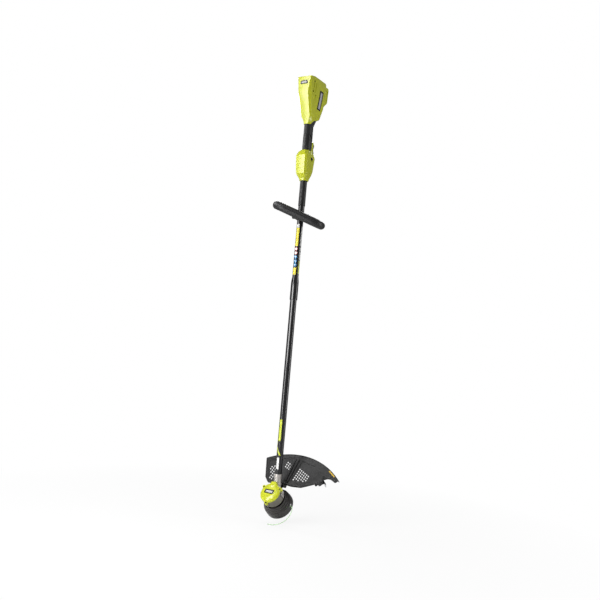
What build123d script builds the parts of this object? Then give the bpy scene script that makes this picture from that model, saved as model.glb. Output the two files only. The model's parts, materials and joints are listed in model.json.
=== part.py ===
from build123d import *
import math
import os

# String trimmer, modelled in millimetres.
# +Z runs up along the tube, the tool's front (its upper side in use) faces -Y and its left side faces +X.
# The origin is on the tube's axis, at the lower edge of the bell where the lower tube enters the upper one.

# ---------------------------------------------------------------- clearances
SEAT = 0.05            # radial play of a piece that is seated on another for good
RUN = 0.06             # radial play of a running fit
GAP = 0.35             # play between pieces that move past each other
WALL = 2.6             # wall of the moulded housings

# ---------------------------------------------------------------- tube
UPPER_TUBE_R = 12.7
LOWER_TUBE_R = 13.25
TUBE_WALL = 1.5
BELL_R = 15.6
BELL_TOP_Z = 69.0
FLARE_TOP_Z = 97.0
TUBE_TOP_Z = 535.0
LOWER_TUBE_TOP_Z = 62.0
LOWER_TUBE_END_Z = -728.0
SLEEVE_R = 14.2
SLEEVE_TOP_Z = 500.0
SLEEVE_END_Z = 385.0
BUTTON_R = 3.4
BUTTON_Z = 30.0
BUTTON_TRAVEL = 3.5

# ---------------------------------------------------------------- battery housing
BAY_HALF_X = 27.0
BAY_FRONT_Y = -24.0
BAY_REAR_Y = 60.0
BAY_FLOOR_Z = 829.0
BAY_WALL = 2.5
RECEIVER_HALF_X = BAY_HALF_X + 1.5
HOUSING_TOP_Z = 915.0
RAIL_DEPTH = 3.0
EJECTOR_R = 5.0
EJECTOR_Y = 36.0
EJECTOR_LIFT = 20.0
EJECTOR_TRAVEL = 10.0
EJECTOR_CAGE_Z = BAY_FLOOR_Z - EJECTOR_TRAVEL - 21
SEAM_Z = 754.0
NECK_TOP_Z = 722.0
BLOCK_REAR_Y = 86.0
BLOCK_HALF_X = 31.0

# ---------------------------------------------------------------- grip
GRIP_END_Z = 614.0
GRIP_Y = 3.0
GRIP_HALF_X = 17.5
GRIP_HALF_Y = 23.0
GRIP_SKIN = 3.0
CORE_WALL = 2.5
LEVER_TOP_Z = 678.0
LEVER_PIVOT_Y = -8.0
LEVER_PIVOT_Z = 622.0
LEVER_PIVOT_R = 2.0
LEVER_EDGE_Y = 1.5

# ---------------------------------------------------------------- trigger
TRIGGER_HALF_X = 5.5
TRIGGER_PIN_Y = 31.0
TRIGGER_PIN_Z = 649.0
TRIGGER_PIN_R = 1.75
TRIGGER_PIN_HALF_X = 10.5
CLAMP_END_Z = 488.0
SELECTOR_X = 24.5
SELECTOR_Y = 5.0
SELECTOR_Z = 578.0
SELECTOR_TRAVEL = 5.0

# ---------------------------------------------------------------- front handle
HANDLE_Z = 341.0
HANDLE_TURN_DEG = 24.5
HANDLE_SKEW_DEG = 21.0
HANDLE_DIP_DEG = 6.5
HANDLE_WIDTH = 226.0
HANDLE_REACH = 98.0
HANDLE_TUBE_R = 15.5
HANDLE_GRIP_R = 17.0
CLAMP_HEIGHT = 24.0
CLAMP_R = 21.0
LINER_R = 15.2

# ---------------------------------------------------------------- head
HEAD_Z = -797.0
HEAD_ANGLE_DEG = 54.0
CAN_R = 41.0
CAN_BOTTOM_T = 18.0
CAN_TOP_T = 57.0
CAP_TOP_T = 70.0
EAR_CIRCLE_R = 43.0
EAR_ANGLES_DEG = (31.0, 151.0, 271.0)
EAR_R = 6.6
EAR_TOP_T = 62.0
EAR_BOTTOM_T = 50.0
SOCKET_R = 15.4
SOCKET_TOP_Z = -693.0
SPINDLE_R = 4.0
BEARING_R = 9.0
SPOOL_R = 58.0
KNOB_R = 32.0
BUMP_TRAVEL = 6.0
EYELET_T = -19.0
EYELET_R = 3.4
LINE_R = 1.2

# ---------------------------------------------------------------- guard
GUARD_TOP_T = 15.0
GUARD_PLATE = 3.0
GUARD_SKIRT = 22.0
PANEL_DEPTH = 1.5

HEAD = Plane(
    origin=(0, 0, HEAD_Z),
    x_dir=(1, 0, 0),
    z_dir=(0, -math.sin(math.radians(HEAD_ANGLE_DEG)), math.cos(math.radians(HEAD_ANGLE_DEG))),
)


# ---------------------------------------------------------------- helpers
def block(x, y, z):
    """A box from its three (low, high) pairs."""
    size = (x[1] - x[0], y[1] - y[0], z[1] - z[0])
    middle = (sum(x) / 2, sum(y) / 2, sum(z) / 2)
    return Pos(*middle) * Box(*size)


def rod(radius, start, end, plane=Plane.XY, at=(0, 0)):
    """A cylinder along the plane's normal, from start to end."""
    return plane * Pos(at[0], at[1], (start + end) / 2) * Cylinder(radius, end - start)


def ring(outer, inner, start, end, plane=Plane.XY):
    """A tube along the plane's normal."""
    return rod(outer, start, end, plane) - rod(inner, start - 1, end + 1, plane)


def rod_x(radius, x0, x1, y, z):
    """A cylinder along X."""
    return Pos((x0 + x1) / 2, y, z) * Rot(0, 90, 0) * Cylinder(radius, x1 - x0)


def prism(face, height):
    """A face in the XY plane, raised by height."""
    return extrude(face, height, dir=(0, 0, 1))


def prism_x(face, x0, x1):
    """A face given in (y, z), from x0 to x1."""
    return Pos(x0, 0, 0) * extrude(Plane.YZ * face, x1 - x0, dir=(1, 0, 0))


def slab_x(points, x0, x1):
    """A polygon of (y, z) points, from x0 to x1."""
    return prism_x(Polygon(*points, align=None), x0, x1)


def turned(points, plane=Plane.XY):
    """A solid of revolution about the plane's normal, from (radius, height) points."""
    face = Plane.XZ * Polygon(*points, align=None)
    return plane * revolve(face, Axis.Z)


def plan(points, start, end, plane=HEAD):
    """A polygon of (u, g) points, from start to end along the plane's normal."""
    return plane * Pos(0, 0, start) * prism(Polygon(*points, align=None), end - start)


def save(name, shape):
    shape.label = name
    export_step(shape, f"parts/{name}.step")
    print(f"{name}: {len(shape.solids())} solid(s), {shape.volume / 1000:.1f} cm3")


os.makedirs("parts", exist_ok=True)


# ---------------------------------------------------------------- rear housing
# Cross-sections from the neck up: height, then the half-outline as (x, y) points from the front centre round to
# the rear centre.
BATTERY_SECTIONS = (
    (NECK_TOP_Z, ((9.0, -21.5), (16.5, -10.0), (17.0, 4.0), (16.0, 16.0), (9.0, 26.0))),
    (737.0, ((13.5, -25.0), (18.5, -11.0), (20.0, 4.0), (19.0, 20.0), (12.0, 31.0))),
    (747.0, ((17.5, -29.0), (22.0, -18.5), (24.5, 4.0), (23.0, 21.0), (15.0, 33.0))),
    (SEAM_Z, ((19.5, -31.5), (24.5, -23.0), (27.0, 4.0), (27.0, 37.0), (18.0, 45.5))),
    (800.0, ((20.0, -47.0), (27.0, -37.0), (31.0, 0.0), (32.0, 51.0), (23.0, 60.0))),
    (840.0, ((22.5, -64.0), (31.5, -48.0), (33.0, 0.0), (33.5, 58.0), (24.0, 67.0))),
    (908.0, ((30.0, -63.5), (32.0, -61.0), (33.0, 0.0), (33.0, 60.0), (24.0, 68.0))),
    (HOUSING_TOP_Z, ((26.5, -58.0), (28.0, -56.0), (29.5, 0.0), (29.5, 60.0), (24.0, 65.0))),
)
BADGE_SECTIONS = BATTERY_SECTIONS[3:7]
TOP_SLOPE = ((-80.0, 901.5), (-27.0, HOUSING_TOP_Z), (-27.0, 940.0), (-80.0, 940.0))
TRIGGER_SECTIONS = (
    (CLAMP_END_Z, ((9.0, -16.2), (15.5, -9.5), (16.6, 2.0), (16.4, 9.0), (9.0, 17.0))),
    (496.0, ((10.0, -18.0), (17.0, -10.0), (18.5, 2.0), (18.0, 10.5), (10.0, 18.5))),
    (513.0, ((18.5, -34.5), (24.0, -23.5), (24.0, 0.0), (22.5, 17.0), (12.0, 24.5))),
    (530.0, ((20.0, -37.5), (26.0, -26.5), (26.0, 0.0), (25.0, 22.0), (13.5, 30.0))),
    (587.0, ((20.5, -42.0), (27.0, -32.0), (26.0, 0.0), (24.0, 32.0), (13.0, 43.0))),
    (602.0, ((15.5, -35.0), (22.5, -25.0), (22.5, 0.0), (21.0, 27.0), (12.0, 38.0))),
    (GRIP_END_Z, ((9.0, -22.0), (16.0, -12.0), (17.0, 3.0), (16.0, 18.0), (10.0, 32.0))),
)
OUTLINE_ROUND = 2.2


def outline(height, half, inset=0.0):
    """The closed outline of one cross-section, moved inwards by inset."""
    right = []
    for x, y in half:
        right.append((x - inset, y - math.copysign(inset, y) if abs(y) > 6 else y))
    left = [(-x, y) for x, y in reversed(right)]
    face = Polygon(*(right + left), align=None)
    face = fillet(face.vertices(), OUTLINE_ROUND if inset == 0 else OUTLINE_ROUND / 2)
    return Pos(0, 0, height) * face


def lofted(sections, inset=0.0):
    """The faceted body through the cross-sections."""
    return loft([outline(z, half, inset) for z, half in sections], ruled=True)


def oval(half_x, half_y, z0, z1):
    """An upright oval of the grip."""
    return Pos(0, GRIP_Y, z0) * prism(Ellipse(half_x, half_y), z1 - z0)


def rear_block():
    """The block behind the battery bay, with its slanted foot."""
    foot = ((50, 809), (BLOCK_REAR_Y - 5, 838), (BLOCK_REAR_Y, 894), (BLOCK_REAR_Y - 4, 901), (50, 901))
    body = slab_x(foot, -BLOCK_HALF_X, BLOCK_HALF_X)
    body = chamfer(body.edges().filter_by(Plane.XZ).group_by(Axis.Y)[-1].filter_by(Axis.Z, reverse=True),
        1.0)
    panel = ((64, 846), (76, 843), (80, 888), (64, 884))
    for side in (-1, 1):
        x = sorted((side * BLOCK_HALF_X, side * (BLOCK_HALF_X - 2.0)))
        body -= slab_x(panel, x[0] - 0.01 * (side < 0), x[1] + 0.01 * (side > 0))
    return body


def receiver_block(play=0.0):
    """The outer form of the battery receiver, or with play the room it is held in."""
    return block(
        (-RECEIVER_HALF_X - play, RECEIVER_HALF_X + play),
        (BAY_FRONT_Y - BAY_WALL - play, BAY_REAR_Y + BAY_WALL + play),
        (BAY_FLOOR_Z - 3 - play, HOUSING_TOP_Z + 5),
    )


def screw_places():
    """(y, z) of the screws that close the two halves."""
    return ((-46.0, 897.0), (-42.0, 835.0), (31.0, 770.0), (16.0, 744.0), (-26.0, 588.0), (-25.0, 520.0),
        (19.5, 542.0))


SCREW_R = 2.0
SCREW_HEAD_R = 3.6
SCREW_BOSS_R = 5.0
SCREW_LEVEL_X = -12.0


def housing_shell():
    """Both halves in one piece, before they are parted."""
    battery = lofted(BATTERY_SECTIONS)
    lower = lofted(TRIGGER_SECTIONS)
    core = oval(GRIP_HALF_X - GRIP_SKIN, GRIP_HALF_Y - GRIP_SKIN, GRIP_END_Z - 8, NECK_TOP_Z + 8)
    horn_points = ((18, 607), (18, 628), (25, 655), (31, 658), (35.5, 654), (36, 646), (33, 636), (33, 607))
    horn = slab_x(horn_points, -TRIGGER_PIN_HALF_X, TRIGGER_PIN_HALF_X)
    outer = battery + rear_block() + lower + core + horn
    outer -= slab_x(TOP_SLOPE, -50, 50)

    inner_battery = [(z if z < 900 else z - 4, half) for z, half in BATTERY_SECTIONS[:-1]]
    inner = lofted(inner_battery, WALL)
    inner += lofted(TRIGGER_SECTIONS[1:], WALL)
    hollow_x = GRIP_HALF_X - GRIP_SKIN - CORE_WALL
    hollow_y = GRIP_HALF_Y - GRIP_SKIN - CORE_WALL
    inner += oval(hollow_x, hollow_y, GRIP_END_Z - 10, NECK_TOP_Z + 10)
    shell = outer - inner

    ribs = block((-40, 40), (BAY_FRONT_Y - BAY_WALL, BLOCK_REAR_Y), (BAY_FLOOR_Z - 3, HOUSING_TOP_Z))
    for z in (762.0, 790.0):
        ribs += block((-14, 14), (-60, -22), (z, z + 2.5))
    for z in (CLAMP_END_Z, 507.0, 524.0):
        ribs += block((-40, 40), (-60, 60), (z, z + (10 if z == CLAMP_END_Z else 3)))
    for y, z in screw_places():
        ribs += rod_x(SCREW_BOSS_R, -40, 40, y, z)
    shell += ribs & outer
    return shell - receiver_block(SEAT)


HORN_LINE = ((7, 604), (7, 615), (25, 654), (60, 654), (60, 604))
WEDGE = ((-12, NECK_TOP_Z - 1), (5.5, 741), (24, 744.5), (50, 746), (50, NECK_TOP_Z - 1))
WEDGE_SKIN = 1.5
SLOT_HALF_X = TRIGGER_HALF_X + 0.5


def horn():
    """The lime fork behind the grip that carries the trigger's pin."""
    wide = oval(GRIP_HALF_X - 0.3, GRIP_HALF_Y - 0.2, 613, 656) & slab_x(HORN_LINE, -40, 40)
    cheek = ((18, 607), (18, 640), (26, 655), (31, 657.5), (35.5, 654), (36, 646), (33, 636), (33, 607))
    return wide + slab_x(cheek, -TRIGGER_PIN_HALF_X, TRIGGER_PIN_HALF_X)


def neck_wedge(play=0.0):
    """The black skin that climbs the back of the neck, or with play the rebate it lies in."""
    neck = BATTERY_SECTIONS[:3]
    face = Polygon(*WEDGE, align=None)
    if play:
        face = offset(face, play)
    return (lofted(neck) - lofted(neck, WEDGE_SKIN + play)) & prism_x(face, -40, 40)


def lever_window():
    """What the palm lever needs cleared out of the grip's core."""
    window = block((-20, 20), (-30, -1.5), (LEVER_PIVOT_Z + 7, LEVER_TOP_Z + 1.2))
    return window + block((-9.3, 9.3), (-30, -5), (GRIP_END_Z + 2, LEVER_PIVOT_Z + 7.5))


def rear_housing():
    """The clam shell, cut for all that it holds."""
    shell = housing_shell() + (horn() - oval(12, 17.5, 600, 660))
    shell -= neck_wedge(SEAT)
    shell -= lever_window()
    seat = block((-13.5, 13.5), (-4, 1), (LEVER_SPRING_Z - 3, LEVER_SPRING_Z + 3))
    seat += block((-6.5, 6.5), (LEVER_SPRING_SEAT_Y, -3), (LEVER_SPRING_Z - 3, LEVER_SPRING_Z + 3))
    shell += seat & oval(GRIP_HALF_X - GRIP_SKIN, GRIP_HALF_Y - GRIP_SKIN, 640, 660)
    shell -= rod(SLEEVE_R + SEAT, CLAMP_END_Z - 5, SLEEVE_TOP_Z + 0.2)
    shell -= rod(UPPER_TUBE_R + SEAT, SLEEVE_TOP_Z, TUBE_TOP_Z + 0.3)
    shell -= block((-SLOT_HALF_X, SLOT_HALF_X), (18, 70), (GRIP_END_Z - 3, 661))
    shell -= rod_x(TRIGGER_PIN_R + SEAT, -TRIGGER_PIN_HALF_X + 1.5, TRIGGER_PIN_HALF_X - 1.5,
        TRIGGER_PIN_Y, TRIGGER_PIN_Z)
    shell -= rod_x(LEVER_PIVOT_R + RUN, -11.5, 11.5, LEVER_PIVOT_Y, LEVER_PIVOT_Z)
    shell -= block((-6.6, 6.6), (3.9, 18.1), (GRIP_END_Z + 1.9, GRIP_END_Z + 26.1))
    return shell


def terminal_block(play=0.0):
    """The nylon block in the bay's floor."""
    body = block((-19 - play, 19 + play), (-21 - play, -5 + play), (BAY_FLOOR_Z - 4, BAY_FLOOR_Z + 9))
    return body + block((-21 - play, 21 + play), (BAY_FRONT_Y, -3 + play), (BAY_FLOOR_Z, BAY_FLOOR_Z + 3))


TERMINAL_X = (-13.5, -4.5, 4.5, 13.5)


def battery_terminals(play=0.0):
    """The blades that stand out of the block."""
    blades = [
        block((x - 0.4 - play, x + 0.4 + play), (-16 - play, -9 + play),
        (BAY_FLOOR_Z - 8, BAY_FLOOR_Z + 24))
        for x in TERMINAL_X
    ]
    return Part() + blades


def rails():
    """The ribs on the bay's side walls that the pack slides on."""
    pieces = []
    for side in (-1, 1):
        x = sorted((side * BAY_HALF_X, side * (BAY_HALF_X - RAIL_DEPTH)))
        for y in (-16.0, 16.0, 48.0):
            pieces.append(block(x, (y, y + 3), (BAY_FLOOR_Z, HOUSING_TOP_Z - 6)))
    return Part() + pieces


def battery_receiver():
    """The box the pack slides into, trapped between the halves, with the ejector's cage under its floor."""
    bay = block((-BAY_HALF_X, BAY_HALF_X), (BAY_FRONT_Y, BAY_REAR_Y), (BAY_FLOOR_Z, HOUSING_TOP_Z + 20))
    box = (receiver_block() & (lofted(BATTERY_SECTIONS) + rear_block())) - bay
    box += rod(EJECTOR_R + 6, EJECTOR_CAGE_Z - 3, BAY_FLOOR_Z, at=(0, EJECTOR_Y))
    box -= rod(EJECTOR_R + 3.6, EJECTOR_CAGE_Z, BAY_FLOOR_Z - 3, at=(0, EJECTOR_Y))
    box -= rod(EJECTOR_R + RUN, BAY_FLOOR_Z - 4, BAY_FLOOR_Z + 1, at=(0, EJECTOR_Y))
    box -= terminal_block(SEAT)
    return box + rails()


SIDE_GROOVE = ((-31.5, 893.0), (-38.0, 849.0))
SIDE_SHADOW = ((-16.5, 890.0), (-21.5, 850.0))
SIDE_TAPER = ((-22.5, 839.0), (-14.0, 841.0), (-17.5, 824.0), (-30.5, 793.0))


def side_details(side):
    """The pockets and grooves pressed into the side of the battery housing."""
    far = 40.0
    cuts = []
    x = sorted((side * 28.8, side * far))
    for y, z in SIDE_GROOVE:
        cuts.append(rod_x(4.2, x[0], x[1], y, z))
    (y0, z0), (y1, z1) = SIDE_GROOVE
    x = sorted((side * 30.4, side * far))
    cuts.append(slab_x(((y0 - 2.6, z0), (y0 + 2.6, z0), (y1 + 2.6, z1), (y1 - 2.6, z1)), *x))
    (y0, z0), (y1, z1) = SIDE_SHADOW
    x = sorted((side * 30.9, side * far))
    cuts.append(slab_x(((y0 - 2.0, z0), (y0 + 2.0, z0), (y1 + 2.0, z1), (y1 - 2.0, z1)), *x))
    x = sorted((side * 29.8, side * far))
    cuts.append(slab_x(SIDE_TAPER, *x))
    return cuts


SIDE_BADGE = ((14.0, 871.0), (42.5, 869.0), (29.0, 786.0), (4.0, 788.0))
FRONT_BADGE = ((-17.5, 874.5), (18.5, 874.5), (15.5, 888.0), (-13.0, 888.0))
BADGE_DEPTH = 0.9
BADGE_PROUD = 0.4


def badge_prism(side, play=0.0):
    """The space of the slanted plate on one side of the battery housing."""
    face = fillet(Polygon(*SIDE_BADGE, align=None).vertices(), 3.0)
    if play:
        face = offset(face, play)
    x = sorted((side * 22, side * 45))
    return prism_x(face, x[0], x[1])


def side_badge(side):
    """The slanted plate let into one side of the battery housing."""
    skin = lofted(BADGE_SECTIONS, -BADGE_PROUD) - lofted(BADGE_SECTIONS, BADGE_DEPTH - SEAT)
    return skin & badge_prism(side)


def badge_pockets():
    """The pockets of both slanted plates."""
    pockets = badge_prism(-1, SEAT) + badge_prism(1, SEAT)
    return pockets - lofted(BADGE_SECTIONS, BADGE_DEPTH)


def front_badge(play=0.0):
    """The plate let into the front face, or with play the pocket it sits in."""
    face = Polygon(*FRONT_BADGE, align=None)
    face = fillet(face.vertices(), 2.5)
    if play:
        face = offset(face, play)
    return Pos(0, -62.9 + play, 0) * extrude(Plane.XZ * face, 8.0 if play else 1.9, dir=(0, -1, 0))


def speed_seat():
    """The pocket in the left side that the speed selector slides in, and the slot for its stem."""
    low = SELECTOR_Z - SELECTOR_TRAVEL
    pocket = block((SELECTOR_X, 42), (SELECTOR_Y - 7, SELECTOR_Y + 7), (low - 5, SELECTOR_Z + 8))
    slot = block((15, 32), (SELECTOR_Y - 2 - GAP, SELECTOR_Y + 2 + GAP),
        (low - 1.5 - GAP, SELECTOR_Z + 4.5 + GAP))
    return pocket + slot


def speed_selector():
    """The thumb slide, with its stem and the flange behind the wall."""
    y, z = SELECTOR_Y, SELECTOR_Z
    face = SELECTOR_X + GAP
    back = SELECTOR_X - 4.4
    knob = block((face, face + 2.65), (y - 6.4, y + 6.4), (z - 3.5, z + 6.5))
    knob = chamfer(knob.edges().group_by(Axis.X)[-1], 0.8)
    for step in (-1.0, 1.5, 4.0):
        knob += block((face + 2.45, face + 3.25), (y - 5.0, y + 5.0), (z + step - 0.5, z + step + 0.5))
    stem = block((back, face + 0.25), (y - 2, y + 2), (z - 1.5, z + 4.5))
    flange = block((back, back + 1.8), (y - 4.6, y + 4.6), (z - 3, z + 6))
    return knob + stem + flange


# ---------------------------------------------------------------- grip, lever and trigger
def grip_skin():
    """The overmoulded skin, both sides in one piece."""
    x, y = GRIP_HALF_X, GRIP_HALF_Y
    depth = GRIP_SKIN - SEAT
    skin = oval(x, y, GRIP_END_Z, NECK_TOP_Z) - oval(x - depth, y - depth, GRIP_END_Z - 1, NECK_TOP_Z + 1)
    lever_zone = ((-40, GRIP_END_Z - 1), (LEVER_EDGE_Y + 0.6, GRIP_END_Z - 1), (LEVER_EDGE_Y + 2.5, 658),
        (-4.5, LEVER_TOP_Z + 1.0), (-40, LEVER_TOP_Z + 1.0))
    skin -= slab_x(lever_zone, -40, 40)
    skin -= slab_x(HORN_LINE, -40, 40)
    skin -= block((-SLOT_HALF_X, SLOT_HALF_X), (18, 70), (GRIP_END_Z - 3, 661))
    cheek = block((-TRIGGER_PIN_HALF_X, TRIGGER_PIN_HALF_X), (17, 40), (GRIP_END_Z - 1, 658))
    return skin - cheek + neck_wedge()


def lockout_lever():
    """The saddle-shaped palm lever with its two arms and stub pivots."""
    x, y = GRIP_HALF_X + 0.5, GRIP_HALF_Y + 0.7
    low, high = GRIP_END_Z + 1.5, LEVER_TOP_Z
    saddle = oval(x, y, low, high) - oval(x - 2.7, y - 3.1, low - 1, high + 1)
    edge = ((-40, low - 1), (LEVER_EDGE_Y, low - 1), (LEVER_EDGE_Y, 657), (-8, high), (-40, high + 1))
    saddle = saddle & slab_x(edge, -40, 40)
    arm = ((-18.2, 617), (-18.2, 630), (-10, 627), (-5.6, 623.5), (-5.6, 620.5), (-9, 617))
    lever = saddle
    for side in (-1, 1):
        x0 = sorted((side * 7.0, side * 9.0))
        lever += slab_x(arm, *x0)
        x1 = sorted((side * 7.0, side * 11.2))
        lever += rod_x(LEVER_PIVOT_R, *x1, LEVER_PIVOT_Y, LEVER_PIVOT_Z)
    return lever


LEVER_SPRING_Z = 651.0
LEVER_SPRING_SEAT_Y = -13.2


def coil(radius, wire, turns, start, end, plane):
    """A compression spring as the closed outer shape of its turns."""
    step = (end - start) / (2 * turns)
    points = [(radius - wire, start)]
    for i in range(2 * turns + 1):
        points.append((radius if i % 2 else radius - wire * 0.45, start + i * step))
    points.append((radius - wire, end))
    return turned(points, plane)


def trigger():
    """The finger lever, hooked at its tip, with the rib that works the switch."""
    outline_points = (
        (28, 652), (33, 656.2), (41, 655.5), (47.5, 652), (50.2, 646), (47, 639), (44.2, 632), (45.4, 624),
        (49.8, 618), (49, 613.6), (44, 613.6), (40.2, 619), (38.2, 627), (37.8, 635), (37.6, 641),
        (34, 643.5), (28, 645),
    )
    face = Polygon(*outline_points, align=None)
    face = fillet(face.vertices(), 1.4)
    body = prism_x(face, -TRIGGER_HALF_X, TRIGGER_HALF_X)
    body += block((-3, 3), (24, 41), (620, 628))
    return body - rod_x(TRIGGER_PIN_R + RUN, -TRIGGER_HALF_X - 1, TRIGGER_HALF_X + 1, TRIGGER_PIN_Y,
        TRIGGER_PIN_Z)


PLUNGER_R = 2.2
PLUNGER_Z = 624.0
PLUNGER_TIP_Y = 23.65
SWITCH_FACE_Y = 17.5


def rod_y(radius, y0, y1, x, z):
    """A cylinder along Y."""
    return Pos(x, (y0 + y1) / 2, z) * Rot(90, 0, 0) * Cylinder(radius, y1 - y0)


def trigger_switch():
    """The switch body, bored for its plunger."""
    body = block((-6.5, 6.5), (4, SWITCH_FACE_Y), (GRIP_END_Z + 2, GRIP_END_Z + 26))
    body += block((-5, 5), (5, 8), (GRIP_END_Z + 26, GRIP_END_Z + 29))
    return body - rod_y(PLUNGER_R + RUN, 5.5, SWITCH_FACE_Y + 1, 0, PLUNGER_Z)


def switch_plunger():
    """The plunger that the trigger's rib pushes in."""
    return rod_y(PLUNGER_R, 12.0, PLUNGER_TIP_Y, 0, PLUNGER_Z)


# ---------------------------------------------------------------- tube
def upper_tube():
    """The upper tube, swaged out to a bell at its lower end."""
    bore = LOWER_TUBE_R + SEAT
    inner = UPPER_TUBE_R - TUBE_WALL
    points = (
        (inner, TUBE_TOP_Z), (UPPER_TUBE_R, TUBE_TOP_Z), (UPPER_TUBE_R, FLARE_TOP_Z), (BELL_R, BELL_TOP_Z),
        (BELL_R, 2.0), (BELL_R - 0.8, 0.0), (bore, 0.0), (bore, BELL_TOP_Z - 3), (inner, FLARE_TOP_Z),
    )
    tube = turned(points)
    return tube - rod_y(BUTTON_R + RUN, 5, 20, 0, BUTTON_Z)


def lower_tube():
    """The lower tube, seated in the bell and in the head's socket."""
    tube = ring(LOWER_TUBE_R, LOWER_TUBE_R - TUBE_WALL, LOWER_TUBE_END_Z, LOWER_TUBE_TOP_Z)
    return tube - rod_y(BUTTON_R + RUN, 5, 20, 0, BUTTON_Z)


def tube_sleeve():
    """The plastic sleeve on the tube below the trigger housing."""
    return ring(SLEEVE_R, UPPER_TUBE_R + SEAT, SLEEVE_END_Z, SLEEVE_TOP_Z)


def snap_button():
    """The button that locks the tube joint, with the collar inside the tube."""
    tip = LOWER_TUBE_R + BUTTON_TRAVEL
    inside = LOWER_TUBE_R - TUBE_WALL
    button = rod_y(BUTTON_R, inside - 3, tip, 0, BUTTON_Z)
    button = fillet(button.edges().sort_by(Axis.Y)[-1], 1.0)
    collar = rod_y(BUTTON_R + 1.4, inside - 3.4, inside - 1.6, 0, BUTTON_Z)
    return button + collar


def strip_x(points, thickness, half_x):
    """A bent strip of sheet along a path of (y, z) points."""
    strip = Part()
    for (y0, z0), (y1, z1) in zip(points, points[1:]):
        length = math.hypot(y1 - y0, z1 - z0)
        turn = math.degrees(math.atan2(z1 - z0, y1 - y0))
        strip += Pos(0, (y0 + y1) / 2, (z0 + z1) / 2) * Rot(turn, 0, 0) * Box(2 * half_x, length, thickness)
    for y, z in points[1:-1]:
        strip += rod_x(thickness / 2, -half_x, half_x, y, z)
    return strip


def button_spring():
    """The bent leaf that pushes the button out and rests on the tube's wall above it."""
    seat = LOWER_TUBE_R - TUBE_WALL - 3.4 - 0.3 - 0.05
    wall = LOWER_TUBE_R - TUBE_WALL - 0.6
    path = ((seat, BUTTON_Z - 5), (seat, BUTTON_Z + 6), (-1.0, BUTTON_Z + 15), (wall, BUTTON_Z + 27))
    return strip_x(path, 0.6, 2.5)


# ---------------------------------------------------------------- front handle
def handle_plane():
    """The loop's own plane: x along the bar, -y away from the tube, towards the operator's other hand."""
    turn = math.radians(HANDLE_TURN_DEG)
    skew = math.radians(HANDLE_SKEW_DEG)
    dip = math.radians(HANDLE_DIP_DEG)
    level = Vector(math.cos(turn), math.sin(turn), 0)
    inward = Vector(-math.sin(turn) * math.cos(dip), math.cos(turn) * math.cos(dip), math.sin(dip))
    up = level.cross(inward)
    along = level * math.cos(skew) - up * math.sin(skew)
    return Plane(origin=(0, 0, HANDLE_Z), x_dir=along, z_dir=along.cross(inward))


def clamp_plane():
    """Square to the tube, with -y towards the loop."""
    turn = math.radians(HANDLE_TURN_DEG)
    return Plane(origin=(0, 0, HANDLE_Z), x_dir=(math.cos(turn), math.sin(turn), 0), z_dir=(0, 0, 1))


LOOP_HALF = HANDLE_WIDTH / 2 - HANDLE_TUBE_R
LINER_FLANGE = 2.5
ARM_Y = -19.0
ARM_DROP = 22.0
LOOP_CORNER = 40.0
ARM_CORNER = 26.0
CLAMP_SCREW_X = 27.5
CLAMP_SCREW_R = 2.5
SLEEVE_FAR_DEG = 75.0
SLEEVE_NEAR_DEG = 40.0


def loop_route():
    """The loop's centre line in its own plane, closed in front of the clamp."""
    right = [(LOOP_HALF - 34, ARM_Y), (LOOP_HALF, ARM_Y - ARM_DROP), (LOOP_HALF, -HANDLE_REACH)]
    points = right + [(-x, y) for x, y in reversed(right)]
    radii = [ARM_CORNER, ARM_CORNER, LOOP_CORNER, LOOP_CORNER, ARM_CORNER, ARM_CORNER]
    return FilletPolyline(*points, radius=radii, close=True)


def front_handle():
    """The loop with its half of the clamp."""
    route = loop_route()
    section = Plane(origin=route @ 0, z_dir=route % 0) * Circle(HANDLE_TUBE_R)
    loop = handle_plane() * sweep(section, path=route)
    place = clamp_plane()
    half = CLAMP_HEIGHT / 2
    front = place * (Cylinder(CLAMP_R, CLAMP_HEIGHT) & block((-40, 40), (-40, -0.3), (-half, half)))
    front += place * block((-34, 34), (-11, -0.3), (-half + 3, half - 3))
    handle = front + loop
    handle -= place * Cylinder(LINER_R + RUN, 140)
    for side in (-1, 1):
        handle -= place * Pos(0, 0, side * (half + 25)) * Cylinder(LINER_R + LINER_FLANGE + GAP, 50)
    for x in (-CLAMP_SCREW_X, CLAMP_SCREW_X):
        handle -= place * rod_y(CLAMP_SCREW_R + SEAT, -18, 1, x, 0)
    return handle


def handle_grip():
    """The soft sleeve on the loop's bar, drawn round both of its corners."""
    x = LOOP_HALF - LOOP_CORNER
    y = LOOP_CORNER - HANDLE_REACH
    far = CenterArc((-x, y), LOOP_CORNER, 270 - SLEEVE_FAR_DEG, SLEEVE_FAR_DEG)
    bar = Line((-x, -HANDLE_REACH), (x, -HANDLE_REACH))
    near = CenterArc((x, y), LOOP_CORNER, 270, SLEEVE_NEAR_DEG)
    route = Wire([far.edge(), bar.edge(), near.edge()])
    section = Plane(origin=route @ 0, z_dir=route % 0) * Circle(HANDLE_GRIP_R)
    bore = Plane(origin=route @ 0, z_dir=route % 0) * Circle(HANDLE_TUBE_R + SEAT)
    return handle_plane() * (sweep(section, path=route) - sweep(bore, path=route))


def handle_clamp_cap():
    """The rear half of the clamp."""
    place = clamp_plane()
    half = CLAMP_HEIGHT / 2
    cap = place * (Cylinder(CLAMP_R, CLAMP_HEIGHT) & block((-40, 40), (0.3, 40), (-half, half)))
    cap += place * block((-34, 34), (0.3, 10), (-half + 3, half - 3))
    cap -= place * Cylinder(LINER_R + RUN, 140)
    for x in (-CLAMP_SCREW_X, CLAMP_SCREW_X):
        cap -= place * rod_y(CLAMP_SCREW_R + SEAT, -1, 20, x, 0)
        cap -= place * rod_y(4.8, 7.5, 20, x, 0)
    return cap


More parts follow.
